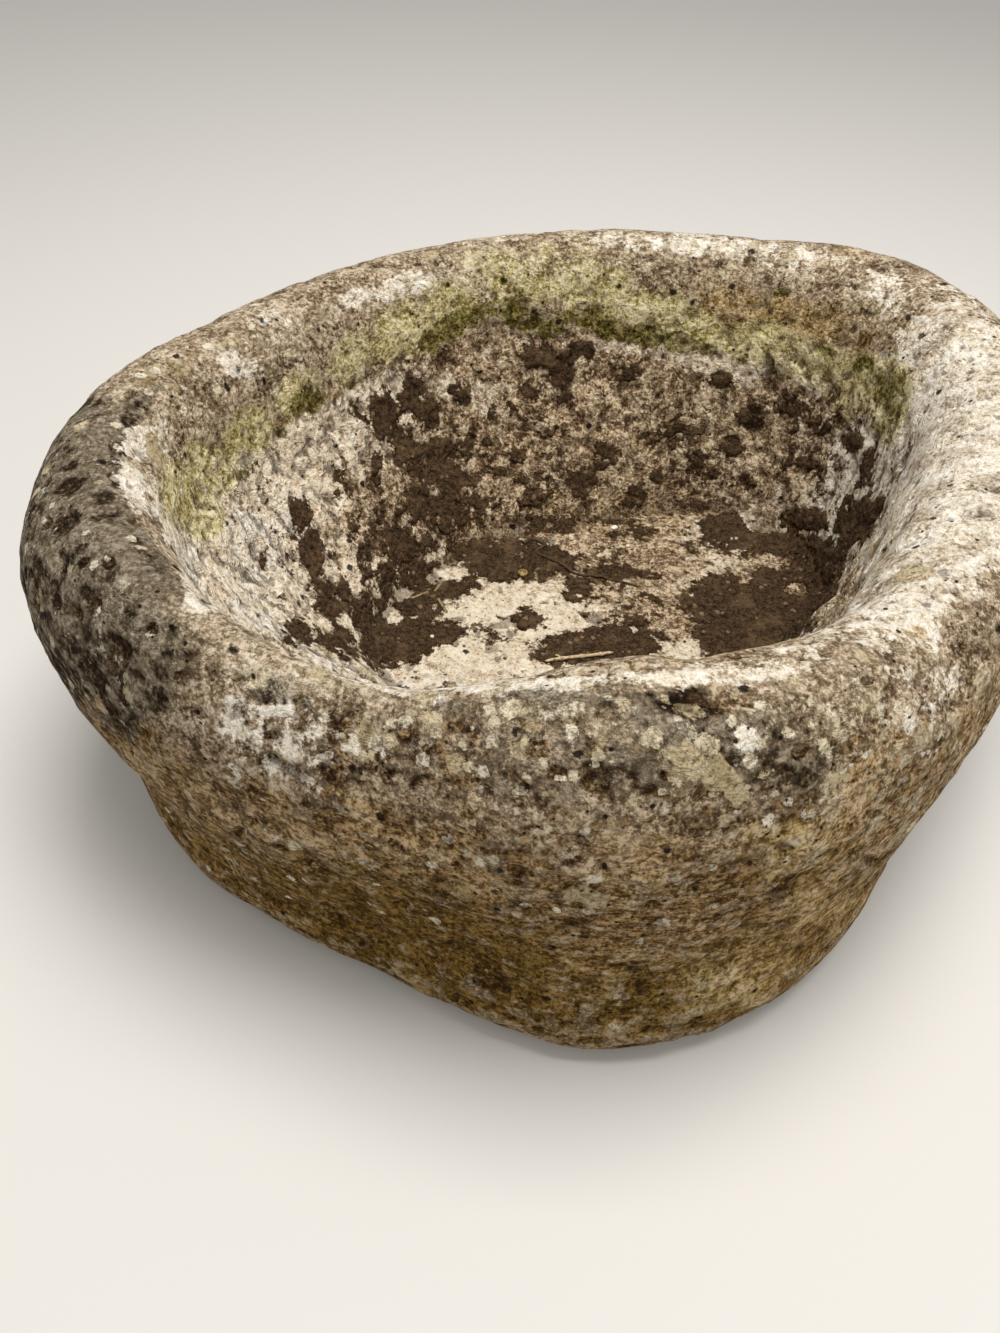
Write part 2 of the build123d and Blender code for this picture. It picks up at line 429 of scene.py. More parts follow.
stroke_slant = {"Axis": (0.6, 0.8, 0.0), "Angle": 0.6}
slant = put(skin, "ShaderNodeVectorRotate", {"Vector": place, **stroke_slant})
slant = put(skin, "ShaderNodeVectorMath", {
    0: put(skin, "ShaderNodeTexNoise", {"Vector": place, "Scale": 60.0}).outputs["Color"],
    1: (0.030, 0.030, 0.030), 2: stretched(skin, slant.outputs[0], 1.0, 1.0, 0.5)}, operation="MULTIPLY_ADD")
marks = put(skin, "ShaderNodeTexVoronoi", {"Vector": slant.outputs[0], "Scale": per("Stroke Size")})
worked = calc(skin, "MULTIPLY", step(skin, height, 0.066, 0.090), step(skin, height, 0.190, 0.160))
worked = calc(skin, "MULTIPLY", worked, step(skin, noise(skin, place, 26.0, 2.0), 0.30, 0.62))
strokes = calc(skin, "MULTIPLY", step(skin, marks.outputs["Distance"], 0.05, 0.70, 1.0, 0.0),
               calc(skin, "MULTIPLY", basin, worked))
crags = calc(skin, "SUBTRACT", noise(skin, place, per("Crag Size"), 4.0, 0.62, 0.4), 0.5)
crags = calc(skin, "MULTIPLY", crags, calc(skin, "MULTIPLY", basin, worked))
grit = noise(skin, place, per("Grit Size"), 4.0, 0.65)

depth = named(skin, "cut")
for form, name in ((lumps, "Lump"), (dents, "Dent"), (beds, "Bed"), (pits, "Pit"), (grit, "Grit"),
                   (strokes, "Stroke"), (crags, "Crag")):
    depth = calc(skin, "ADD", depth, calc(skin, "MULTIPLY", form, size[name + " Depth"]))
depth = calc(skin, "SUBTRACT", depth, size["Rise"])
depth = calc(skin, "MULTIPLY", depth, step(skin, height, 0.0004, 0.016))
inward = put(skin, "ShaderNodeVectorMath", {0: skin.nodes.new("GeometryNodeInputNormal").outputs[0]},
             operation="SCALE")
skin.links.new(calc(skin, "MULTIPLY", depth, -1.0), inward.inputs["Scale"])
moved = put(skin, "GeometryNodeSetPosition", {"Geometry": size["Geometry"], "Offset": inward.outputs[0]})
end_tree(skin, moved.outputs[0], size["Material"], out)

# %% Put the skin on and thin out the faces
def press_into_box(places, lowest, highest, zone=0.025):
    """Draw in what stands out of the box, by squeezing only the last stretch before each side."""
    for axis in range(3):
        for side, limit in ((-1, lowest[axis]), (1, highest[axis])):
            if axis == 2 and side == -1:
                continue
            start, reach = side * limit - zone, side * places[:, axis]
            over = max((reach.max() - start) / zone, 1.0)
            reach = np.where(reach > start, start + (reach - start) / over, reach)
            places[:, axis] = side * reach
    return places


stone_finish = bpy.data.materials.new("weathered_stone")
add_nodes_modifier(stone, skin, {**skin_sizes, "Material": stone_finish})
settle(stone)
most_triangles = 196000
thinner = stone.modifiers.new("thinner", "DECIMATE")
thinner.ratio = most_triangles / triangle_count(stone.data)
settle(stone)
places = vertex_places(stone.data)
level_with_floor, box_margin = 0.0006, 0.0002
places[:, 2] = np.where(places[:, 2] < level_with_floor, 0.0, places[:, 2])
places = press_into_box(places, np.array(cad_box[0]) + box_margin, np.array(cad_box[1]) - box_margin)
places[:, 2] = np.maximum(places[:, 2], 0.0)
stone.data.vertices.foreach_set("co", places.ravel())
shade_smooth(stone.data)
print("stone triangles", triangle_count(stone.data))

# %% [markdown]
# ## What has grown and settled on the stone
#
# Each finish below is one mask. Its patches were read from the photograph, one oval
# for each stain. An oval also lies over stone that the front rim hides, so a
# ray from the camera to each point tells what is really in sight. Out of sight, the
# common stains take a low even value, which the noise in the material turns into
# scattered patches. The last four masks follow the form alone.

# %% Soil, in the basin
soil_patches = [
    # left wall, dark runs
    (302, 514, 11, 20, -8, 1.0), (314, 556, 12, 32, -12, 1.0), (328, 598, 12, 22, -10, 1.0),
    (298, 634, 20, 14, -20, 1.0), (334, 640, 20, 15, -10, 1.0), (350, 655, 16, 10, 20, 0.9),
    (340, 490, 9, 26, -5, 0.60), (352, 530, 10, 30, -5, 0.74), (364, 560, 11, 34, 0, 0.84),
    (378, 470, 9, 24, 0, 0.70), (362, 610, 14, 26, 0, 0.90),
    (262, 560, 5, 16, 25, 0.50), (345, 600, 10, 24, 0, 0.82), (280, 600, 7, 14, 20, 0.56),
    # back left corner
    (384, 412, 13, 24, 8, 1.0), (412, 395, 14, 22, 0, 1.0), (430, 412, 12, 18, 0, 1.0),
    (460, 392, 13, 15, -10, 0.90), (402, 450, 12, 28, 5, 0.85), (432, 462, 22, 26, 0, 0.95),
    (452, 482, 22, 22, 0, 0.80), (420, 505, 22, 26, 0, 1.0), (400, 540, 20, 30, 0, 0.85),
    (424, 560, 24, 28, 0, 0.92), (440, 520, 26, 20, 0, 0.90), (380, 505, 9, 26, 0, 0.66),
    (384, 575, 12, 22, 0, 0.80),
    # back wall
    (542, 356, 20, 12, 0, 0.95), (563, 372, 11, 22, 0, 1.0), (582, 350, 15, 10, 0, 0.95),
    (520, 352, 10, 9, 0, 0.66), (565, 397, 12, 10, 0, 0.80), (626, 372, 22, 12, 5, 0.86),
    (655, 360, 18, 8, 0, 0.80), (722, 380, 16, 10, 0, 0.95), (753, 416, 17, 18, 20, 1.0),
    (730, 448, 16, 14, 0, 0.90), (606, 452, 16, 18, 20, 1.0), (582, 482, 16, 15, 0, 1.0),
    (636, 496, 17, 13, -35, 1.0), (657, 477, 8, 11, 0, 0.90), (519, 458, 10, 9, 0, 0.90),
    (500, 474, 9, 9, 0, 0.80), (712, 474, 10, 8, 0, 0.95), (745, 482, 14, 12, 0, 0.92),
    (798, 462, 34, 6, 10, 0.80), (852, 442, 11, 9, 0, 0.90), (690, 430, 24, 6, 12, 0.80),
    (545, 436, 10, 12, 0, 0.72), (470, 440, 14, 14, 0, 0.66), (485, 500, 18, 14, 0, 0.80),
    (530, 500, 16, 10, 0, 0.76), (790, 405, 20, 12, 0, 0.66), (820, 425, 16, 10, 0, 0.62),
    (806, 520, 26, 12, 5, 1.0), (690, 505, 20, 8, 0, 0.70),
    # right corner and the strip under the right wall
    (856, 520, 22, 32, 35, 1.0), (868, 470, 10, 30, 15, 0.80), (820, 560, 34, 22, 25, 1.0),
    # floor
    (484, 556, 42, 20, 0, 0.96), (455, 585, 30, 18, 0, 0.95), (412, 600, 44, 22, -10, 1.0),
    (400, 640, 46, 24, -12, 1.0), (450, 632, 18, 14, 0, 0.80), (528, 618, 17, 14, 0, 1.0),
    (576, 590, 18, 16, 0, 1.0), (598, 650, 62, 20, -4, 1.6), (725, 530, 30, 16, 0, 1.0),
    (770, 545, 60, 14, 5, 0.95), (785, 590, 44, 24, 10, 1.0), (730, 618, 40, 20, -5, 1.0),
    (750, 645, 46, 18, -5, 1.6), (640, 618, 34, 12, 0, 0.62), (752, 626, 58, 30, 0, 1.6),
    (722, 592, 34, 20, 0, 1.0), (650, 600, 64, 26, 0, 0.66), (612, 574, 34, 12, 0, 0.72),
    (820, 590, 30, 26, 10, 0.9), (690, 545, 36, 12, 0, 0.60), (505, 572, 46, 14, 0, 0.95),
    (545, 562, 34, 16, 0, 0.95),
    (640, 530, 50, 14, 0, 0.72), (560, 525, 40, 10, 0, 0.72), (640, 580, 50, 12, 0, 0.62),
    (690, 600, 34, 14, 10, 0.85), (545, 575, 26, 12, 0, 0.70), (470, 520, 20, 16, 0, 0.80),
]
cleared_patches = [
    (447, 572, 24, 10, -10, 0.95), (402, 594, 14, 6, -20, 0.9), (392, 616, 7, 8, 0, 0.9),
    (432, 558, 12, 6, 0, 0.8), (560, 540, 26, 5, 0, 0.6), (598, 528, 20, 5, 0, 0.6),
    (680, 560, 30, 5, 5, 0.7), (798, 590, 12, 7, 0, 0.8), (660, 588, 24, 5, 8, 0.6),
]
scattered_soil_patches = [
    (640, 440, 240, 70, 3, 0.36), (480, 460, 90, 90, 0, 0.42), (400, 560, 70, 80, 0, 0.44),
    (330, 560, 40, 80, 0, 0.40), (640, 560, 200, 60, 0, 0.30), (700, 610, 150, 44, 0, 0.44),
    (480, 640, 120, 40, 0, 0.26),
]
wash_patches = [
    (510, 365, 110, 24, 0, 1.0), (640, 385, 120, 26, 5, 1.0), (770, 405, 90, 26, 10, 1.0),
    (640, 450, 220, 90, 3, 1.05), (480, 470, 90, 100, 0, 1.0), (400, 520, 60, 100, 0, 0.75),
    (330, 560, 40, 70, 0, 0.42), (640, 570, 90, 36, 0, 0.95), (780, 580, 90, 50, 0, 0.9),
    (850, 450, 60, 80, 20, 1.0), (560, 560, 60, 30, 0, 0.7), (680, 610, 80, 30, 0, 1.0),
]

# %% Algae and moss, under the rim
algae_patches = [
    (182, 498, 24, 34, -20, 1.0), (212, 470, 28, 30, -40, 1.0), (205, 520, 22, 20, -20, 1.0),
    (250, 430, 34, 26, -40, 0.85), (300, 392, 34, 24, -40, 0.80), (352, 356, 36, 26, -40, 0.85),
    (400, 330, 38, 26, -35, 0.90), (452, 305, 40, 28, -20, 0.95), (515, 285, 44, 26, -8, 0.90),
    (580, 282, 46, 26, 0, 0.85), (640, 308, 44, 22, 5, 0.85), (700, 330, 40, 20, 5, 0.90),
    (760, 345, 46, 24, 8, 1.1), (815, 362, 40, 24, 10, 1.2), (860, 384, 32, 32, 20, 1.2),
    (890, 398, 20, 40, 10, 1.2), (884, 430, 12, 18, 0, 0.9), (480, 262, 40, 14, 0, 0.5),
    (560, 255, 60, 14, 0, 0.5),
]
moss_patches = [
    (306, 404, 14, 13, -30, 0.9), (282, 432, 10, 9, -30, 0.6), (430, 343, 14, 11, -35, 1.0),
    (446, 332, 20, 11, -25, 1.1), (472, 317, 18, 10, -20, 1.0), (500, 308, 20, 10, -15, 1.05),
    (523, 318, 22, 11, 10, 1.1), (545, 325, 18, 11, 0, 1.1), (583, 317, 22, 10, 0, 1.0),
    (611, 329, 20, 11, 15, 1.1), (644, 336, 24, 12, 8, 1.2), (678, 343, 20, 11, 8, 1.1),
    (706, 350, 16, 8, 5, 0.75), (740, 362, 14, 6, 5, 0.6), (828, 350, 16, 7, 15, 0.8),
    (866, 364, 14, 8, 25, 0.62), (888, 385, 12, 20, 10, 0.66), (893, 412, 9, 16, 0, 0.62),
    (868, 306, 16, 10, 20, 0.5), (782, 290, 12, 7, 0, 0.5), (198, 470, 10, 9, 0, 0.55),
    (240, 478, 12, 6, -40, 0.5), (520, 292, 20, 7, 0, 0.6),
]

# %% Weathering on the rim and the outside
dark_patches = [
    # the first three patches, on the left bulge, deepen the dark weathering into painted shade of that side,
    # which is turned away from the light
    (80, 560, 84, 134, 0, 1.40), (130, 650, 70, 70, 20, 0.95), (70, 470, 54, 76, 20, 1.2),
    (150, 425, 54, 38, -30, 0.92), (215, 372, 44, 22, -32, 0.66), (290, 330, 50, 16, -30, 0.45),
    (178, 590, 40, 40, 0, 0.62), (660, 712, 66, 28, 5, 0.90), (720, 745, 66, 38, 0, 0.92),
    (560, 700, 60, 16, 0, 0.72), (790, 770, 50, 26, -10, 0.5), (470, 745, 40, 20, 0, 0.45),
    (590, 765, 110, 34, 0, 0.66), (300, 640, 20, 10, 30, 0.5), (120, 700, 40, 40, 30, 0.6),
    (540, 730, 180, 26, 0, 0.55), (760, 740, 50, 36, -10, 0.60),
]
pale_patches = [
    (940, 470, 80, 110, 30, 1.35), (870, 600, 70, 46, -40, 0.64), (800, 650, 60, 24, -30, 0.72),
    (960, 350, 60, 60, 30, 0.80), (700, 676, 80, 12, -2, 1.0), (560, 684, 70, 8, -4, 0.90),
    (470, 686, 50, 8, 4, 0.85), (400, 690, 50, 8, 10, 0.95), (330, 664, 50, 10, 24, 1.0),
    (262, 622, 44, 12, 30, 1.0), (205, 602, 20, 12, 10, 0.85), (170, 520, 12, 46, -24, 1.1),
    (192, 566, 14, 24, -20, 1.0),
    (130, 478, 14, 30, -30, 0.75), (145, 445, 26, 18, -20, 0.70), (236, 364, 26, 14, 20, 0.85),
    (272, 316, 26, 12, 10, 0.85), (410, 284, 34, 12, -12, 0.80), (480, 240, 44, 8, -6, 0.50),
    (620, 240, 60, 10, 2, 0.52), (700, 246, 70, 12, 4, 0.55), (790, 258, 60, 14, 8, 0.50),
    (745, 738, 12, 12, 0, 0.95), (340, 600, 20, 10, 0, 0.5), (900, 300, 50, 24, 20, 0.50),
    (940, 700, 30, 60, 20, 0.40), (360, 298, 26, 10, -20, 0.6), (280, 735, 80, 44, 20, 0.60),
    (872, 480, 40, 100, 24, 1.2), (900, 620, 90, 60, -40, 0.44), (300, 780, 40, 14, 24, 0.6),
    (930, 520, 80, 120, 30, 1.0), (250, 560, 40, 60, -20, 0.62), (290, 510, 20, 40, 0, 0.5),
]
olive_patches = [
    (430, 950, 170, 70, 22, 1.0), (620, 1010, 160, 44, 0, 0.85), (300, 900, 80, 50, 35, 0.62),
    (760, 900, 80, 70, -20, 0.35),
]
ochre_patches = [
    (740, 975, 60, 34, -12, 0.72), (820, 905, 44, 36, -40, 0.62), (915, 615, 26, 20, 0, 0.95),
    (775, 322, 70, 24, 8, 1.1), (985, 270, 30, 12, 20, 0.6), (790, 850, 60, 26, 0, 0.6),
    (925, 330, 30, 20, 0, 0.5), (700, 312, 30, 10, 0, 0.7), (945, 520, 40, 16, -30, 0.5),
    (855, 258, 26, 10, 10, 0.5), (640, 958, 40, 20, 0, 0.4),
]
blue_patches = [
    (270, 684, 20, 14, 10, 1.0), (300, 700, 16, 8, 20, 0.6), (448, 708, 16, 9, 0, 0.72),
    (520, 698, 34, 10, -4, 0.95), (560, 700, 30, 8, 0, 0.9), (606, 694, 20, 9, 0, 0.75),
    (250, 640, 22, 8, 30, 0.6), (640, 735, 16, 8, 0, 0.5),
]
brown_patches = [
    (560, 745, 250, 50, 0, 0.95), (760, 780, 90, 50, -14, 0.80), (330, 760, 60, 26, 24, 0.55),
    (480, 700, 60, 14, 4, 0.7), (150, 640, 60, 70, 10, 0.5),
]
taupe_patches = [  # grey brown streaks across the pale right rim
    (955, 425, 20, 7, -12, 1.0), (919, 464, 16, 6, -25, 1.0), (953, 455, 20, 7, -15, 1.0),
    (935, 489, 24, 8, -20, 0.9), (971, 398, 24, 7, -18, 1.0), (962, 316, 24, 8, -20, 0.9),
    (980, 435, 18, 6, -15, 0.9), (916, 521, 22, 8, -22, 0.95), (889, 562, 18, 8, -25, 1.0),
    (875, 594, 16, 7, -28, 1.0), (985, 512, 22, 8, -18, 0.9), (916, 439, 12, 6, -40, 0.8),
    (898, 580, 14, 6, -25, 0.9), (966, 553, 26, 8, -20, 0.95), (989, 480, 20, 7, -15, 0.9),
    (940, 560, 22, 7, -25, 0.85), (930, 350, 20, 8, -25, 0.8), (948, 590, 26, 10, -25, 0.85),
]
lichen_patches = [
    (640, 740, 280, 50, 0, 1.50), (85, 590, 80, 110, 0, 0.34), (890, 620, 110, 110, 0, 0.30),
    (330, 690, 90, 40, 20, 0.72), (200, 400, 120, 60, -35, 0.60), (560, 250, 300, 26, 0, 0.55),
    (500, 850, 300, 60, 0, 0.25), (840, 760, 110, 70, -20, 1.2),
]
print("soil patches", len(soil_patches), "weathering patches", len(dark_patches + pale_patches))

# %% Hollows and high spots of the finished surface
def read_mask(mesh, name):
    values = np.empty(len(mesh.vertices), np.float32)
    mesh.attributes[name].data.foreach_get("value", values)
    return values.astype(float)


def neighbour_mean(mesh, values, rounds):
    """Each point's numbers, replaced by the mean of its neighbours' a few times over."""
    ends = np.empty(2 * len(mesh.edges), np.int32)
    mesh.edges.foreach_get("vertices", ends)
    one, other = ends.reshape(-1, 2).T
    count = np.bincount(ends, minlength=len(values))
    for _ in range(rounds):
        total = np.column_stack([
            np.bincount(one, column[other], len(values)) + np.bincount(other, column[one], len(values))
            for column in values.T])
        values = total / count[:, None]
    return values


def find_hollows(mesh, rounds):
    """How far each point lies below the surface smoothed over its neighbours."""
    places = vertex_places(mesh)
    return ((neighbour_mean(mesh, places, rounds) - places) * vertex_normals(mesh)).sum(1)


def in_plain_sight(mesh, tolerance=0.006, rounds=6):
    """1 where no part of the block stands between a point and the camera, with a soft change."""
    places = vertex_places(mesh)
    block = BVHTree.FromPolygons(places.tolist(), [tuple(face.vertices) for face in mesh.polygons])
    eye = Vector(camera_place)
    clear = np.zeros((len(places), 1))
    for i, place in enumerate(places.tolist()):
        way = Vector(place) - eye
        hit = block.ray_cast(eye, way)
        clear[i] = hit[3] is not None and hit[3] > way.length - tolerance
    return neighbour_mean(mesh, clear, rounds)[:, 0]


# this mask carries the painted shade in the hollows and the painted highlight on the high spots, in the
# stone's material
small_hollows, wide_hollows = find_hollows(stone.data, 2), find_hollows(stone.data, 12)
small_scale, wide_scale = 0.0010, 0.0036
hollow = np.clip(0.5 + small_hollows / small_scale + wide_hollows / wide_scale, 0, 1)
keep_mask(stone.data, "hollow", hollow)
print("hollow mean", round(float(hollow.mean()), 2), "spread", round(float(hollow.std()), 2))

# %% Write the masks on the stone
places, normals = vertex_places(stone.data), vertex_normals(stone.data)
inside = read_mask(stone.data, "inside")
facing = facing_camera(places, normals) * in_plain_sight(stone.data)
in_basin = smooth_step(0.3, 0.9, inside)
unseen = 1 - facing
level = places[:, 2]
crown = smooth_step(0.062, 0.014, np.abs(past_crest(places) + 0.006)) * smooth_step(0.150, 0.180, level)
low = smooth_step(0.130, 0.070, level) * (1 - in_basin)
foot = smooth_step(0.070, 0.010, level) * (1 - in_basin)
hidden_wall, hidden_outside = unseen * in_basin, unseen * (1 - in_basin)


def seen(patches, side):
    return patch_mask(places, facing, inside, patches, side)


masks = {
    "soil": np.maximum(seen(soil_patches, "basin"), seen(scattered_soil_patches, "basin"))
    * (1 - seen(cleared_patches, "basin")) * smooth_step(0.195, 0.180, level)
    + 0.42 * hidden_wall * smooth_step(0.150, 0.090, level),
    "wash": seen(wash_patches, "basin") + 0.6 * hidden_wall,
    "algae": seen(algae_patches, "all") * smooth_step(0.05, 0.4, inside)
    + 0.55 * hidden_wall * smooth_step(0.140, 0.175, level),
    "moss": seen(moss_patches, "basin"),
    "dark": seen(dark_patches, "outside") + 0.44 * hidden_outside,
    "pale": seen(pale_patches, "all") + 0.42 * unseen * crown,
    "olive": np.maximum(seen(olive_patches, "outside"), 0.5 * foot),
    "ochre": seen(ochre_patches, "all") + 0.35 * hidden_outside * foot,
    "blue": seen(blue_patches, "outside"),
    "brown": seen(brown_patches, "outside"),
    "taupe": seen(taupe_patches, "all"),
    "lichen": seen(lichen_patches, "all") + 0.42 * hidden_outside * smooth_step(0.02, 0.12, level),
    "bare": in_basin * smooth_step(0.178, 0.160, level),
    "worked": in_basin * smooth_step(0.064, 0.072, level) * smooth_step(0.190, 0.165, level),
    "low": low,
    "crown": crown,
}
for name, values in masks.items():
    keep_mask(stone.data, name, np.clip(values, 0, 1.6))
    print(name, "mean", round(float(values.mean()), 3))

# %% [markdown]
# ## Finishes that several materials share
#
# Four effects come back from layer to layer or from finish to finish, so each is a
# node group, built once: a ragged edge for a soft mask, round lichen discs, pits, and
# the fine mineral grain. Each gives only masks and values. The colours are chosen in
# the materials.

# %% Ragged edge
def edge_swing(tree, speckle, place, size):
    """How far an edge swings out and in: fine noise plus lobes six times as wide."""
    lobes = noise(tree, place, calc(tree, "DIVIDE", 1 / 6, size), 2.0)
    return calc(tree, "ADD", calc(tree, "MULTIPLY", calc(tree, "SUBTRACT", speckle, 0.5), 2.8),
                calc(tree, "MULTIPLY", calc(tree, "SUBTRACT", lobes, 0.5), 1.5))


ragged, given, out = new_group(
    "ragged edge", "ShaderNodeTree",
    [("Vector", VECTOR, None), ("Mask", FLOAT, 0.0), ("Size", FLOAT, 0.01),
     ("Raggedness", FLOAT, 0.8), ("Softness", FLOAT, 0.06)], [("Mask", FLOAT)])
speckle = noise(ragged, given["Vector"], calc(ragged, "DIVIDE", 1.0, given["Size"]), 8.0, 0.72)
swing = edge_swing(ragged, speckle, given["Vector"], given["Size"])
lifted = calc(ragged, "ADD", given["Mask"], calc(ragged, "MULTIPLY", swing, given["Raggedness"]))
edge = put(ragged, "ShaderNodeMapRange", {
    "Value": lifted, "From Min": calc(ragged, "SUBTRACT", 0.5, given["Softness"]),
    "From Max": calc(ragged, "ADD", 0.5, given["Softness"])}, interpolation_type="SMOOTHSTEP")
ragged.links.new(edge.outputs["Result"], out.inputs[0])

# %% Spots: lichen discs and pits
def spots_group(name, smallest, largest, wobble_share, softness):
    """Round spots of mixed size with ragged edges, one in some of the cells of a Voronoi pattern."""
    spots, given, out = new_group(
        name, "ShaderNodeTree",
        [("Vector", VECTOR, None), ("Size", FLOAT, 0.01), ("Amount", FLOAT, 0.4)],
        [("Spot", FLOAT), ("Tint", FLOAT)])
    per_size = calc(spots, "DIVIDE", 1.0, given["Size"])
    cell = put(spots, "ShaderNodeTexVoronoi", {"Vector": given["Vector"], "Scale": per_size})
    picked = put(spots, "ShaderNodeSeparateColor", {0: cell.outputs["Color"]})
    wobble = noise(spots, given["Vector"], calc(spots, "MULTIPLY", per_size, 2.4), 5.0, 0.75)
    away = calc(spots, "ADD", cell.outputs["Distance"],
                calc(spots, "MULTIPLY", calc(spots, "SUBTRACT", wobble, 0.5), wobble_share))
    radius = step(spots, picked.outputs[1], 0.0, 1.0, smallest, largest)
    spot = step(spots, calc(spots, "SUBTRACT", radius, away), 0.0, softness)
    here = step(spots, calc(spots, "SUBTRACT", given["Amount"], picked.outputs[0]), 0.0, 0.02)
    spots.links.new(calc(spots, "MULTIPLY", spot, here), out.inputs["Spot"])
    spots.links.new(picked.outputs[2], out.inputs["Tint"])
    return spots


discs = spots_group("lichen discs", 0.12, 0.54, 1.05, 0.06)
pitted = spots_group("pits", 0.04, 0.20, 0.55, 0.08)

# %% Mineral grain
grain, given, out = new_group(
    "mineral grain", "ShaderNodeTree", [("Vector", VECTOR, None)],
    [(name, FLOAT) for name in ("Blotch", "Cloud", "Mottle", "Grain", "Bed", "Fleck")])
flattened = stretched(grain, given["Vector"], 1.0, 1.0, 5.0)
for name, vector, *settings in (
        ("Blotch", given["Vector"], 20.0, 4.0, 0.6, 0.4), ("Cloud", given["Vector"], 76.0, 5.0, 0.62, 0.6),
        ("Mottle", given["Vector"], 330.0, 5.0, 0.66, 0.3), ("Grain", given["Vector"], 850.0, 3.0, 0.7),
        ("Bed", flattened, 60.0, 5.0, 0.62, 0.3)):
    grain.links.new(noise(grain, vector, *settings), out.inputs[name])
wobble = put(grain, "ShaderNodeTexNoise", {"Vector": given["Vector"], "Scale": 500.0, "Detail": 2.0})
vector = put(grain, "ShaderNodeVectorMath", {
    0: wobble.outputs["Color"], 1: (0.003, 0.003, 0.003), 2: given["Vector"]}, operation="MULTIPLY_ADD")
cell = put(grain, "ShaderNodeTexVoronoi", {"Vector": vector.outputs[0], "Scale": 1 / 0.0025})
picked = put(grain, "ShaderNodeSeparateColor", {0: cell.outputs["Color"]})
body = step(grain, cell.outputs["Distance"], 0.60, 0.30)
fleck = calc(grain, "MULTIPLY", body, calc(grain, "SUBTRACT", picked.outputs[0], 0.5))
grain.links.new(fleck, out.inputs["Fleck"])

# %% [markdown]
# ## The stone's finish
#
# The finish is laid on as the weather laid it: bare stone first, then damp stains,
# dark weathering and bleached crust, then living growth, then soil. Painted shade in
# the pick strokes and hollows, painted highlight on the high spots, and pits, coloured
# dark with painted shade, come last. On the left bulge the dark weathering is
# deepened into painted shade.
# Each layer is three tones mixed by the grain, laid over the one below through a
# ragged mask. A lookup ramp alone would give the whole stone one mixture.

# %% The layers of the stone
def start_finish(material):
    material.use_nodes = True
    tree = material.node_tree
    coords = put(tree, "ShaderNodeTexCoord").outputs["Object"]
    return tree, coords, tree.nodes["Principled BSDF"]


def group(tree, shared, **inputs):
    return put(tree, "ShaderNodeGroup", inputs, node_tree=shared).outputs


def attribute(tree, name):
    return put(tree, "ShaderNodeAttribute", attribute_name=name).outputs["Fac"]


tree, coords, surface = start_finish(stone_finish)
texture = group(tree, grain, Vector=coords)
blotch, cloud, bed, mottle, fine = (
    texture[name] for name in ("Blotch", "Cloud", "Bed", "Mottle", "Grain"))
speck = calc(tree, "ADD", calc(tree, "MULTIPLY", mottle, 0.42), calc(tree, "MULTIPLY", fine, 0.28))
speck = calc(tree, "ADD", speck, calc(tree, "MULTIPLY", cloud, 0.30))
speck = calc(tree, "ADD", speck, calc(tree, "MULTIPLY", texture["Fleck"], 0.14))


def speckled(dark, middle, light, shift=0.0, width=0.062):
    """A colour that runs over three tones with the stone's own specks."""
    low_share = calc(tree, "DIVIDE", calc(tree, "SUBTRACT", speck, 0.49 + shift - width), width, clamp=True)
    high_share = calc(tree, "DIVIDE", calc(tree, "SUBTRACT", speck, 0.50 + shift), width, clamp=True)
    return blend(tree, high_share, blend(tree, low_share, paint(*dark), paint(*middle)), paint(*light))


def lay(base, name, colour, edge_size, raggedness, softness, strength=1.0):
    mask = group(tree, ragged, Vector=coords, Mask=attribute(tree, name), Size=edge_size,
                 Raggedness=raggedness, Softness=softness)[0]
    return blend(tree, calc(tree, "MULTIPLY", mask, strength), base, colour)


colour = blend(tree, step(tree, blotch, 0.42, 0.58),
               speckled((52, 34, 14), (102, 75, 42), (174, 143, 98)),
               speckled((78, 54, 26), (142, 112, 71), (212, 184, 140)))
colour = lay(colour, "low", speckled((62, 41, 10), (112, 83, 38), (168, 136, 80)), 0.030, 0.6, 0.40, 0.90)
for start, end, share, tone in ((0.55, 0.62, 0.36, (190, 162, 118)), (0.45, 0.38, 0.50, (52, 36, 18))):
    bedded = calc(tree, "MULTIPLY", step(tree, bed, start, end), share)
    colour = blend(tree, bedded, colour, paint(*tone))
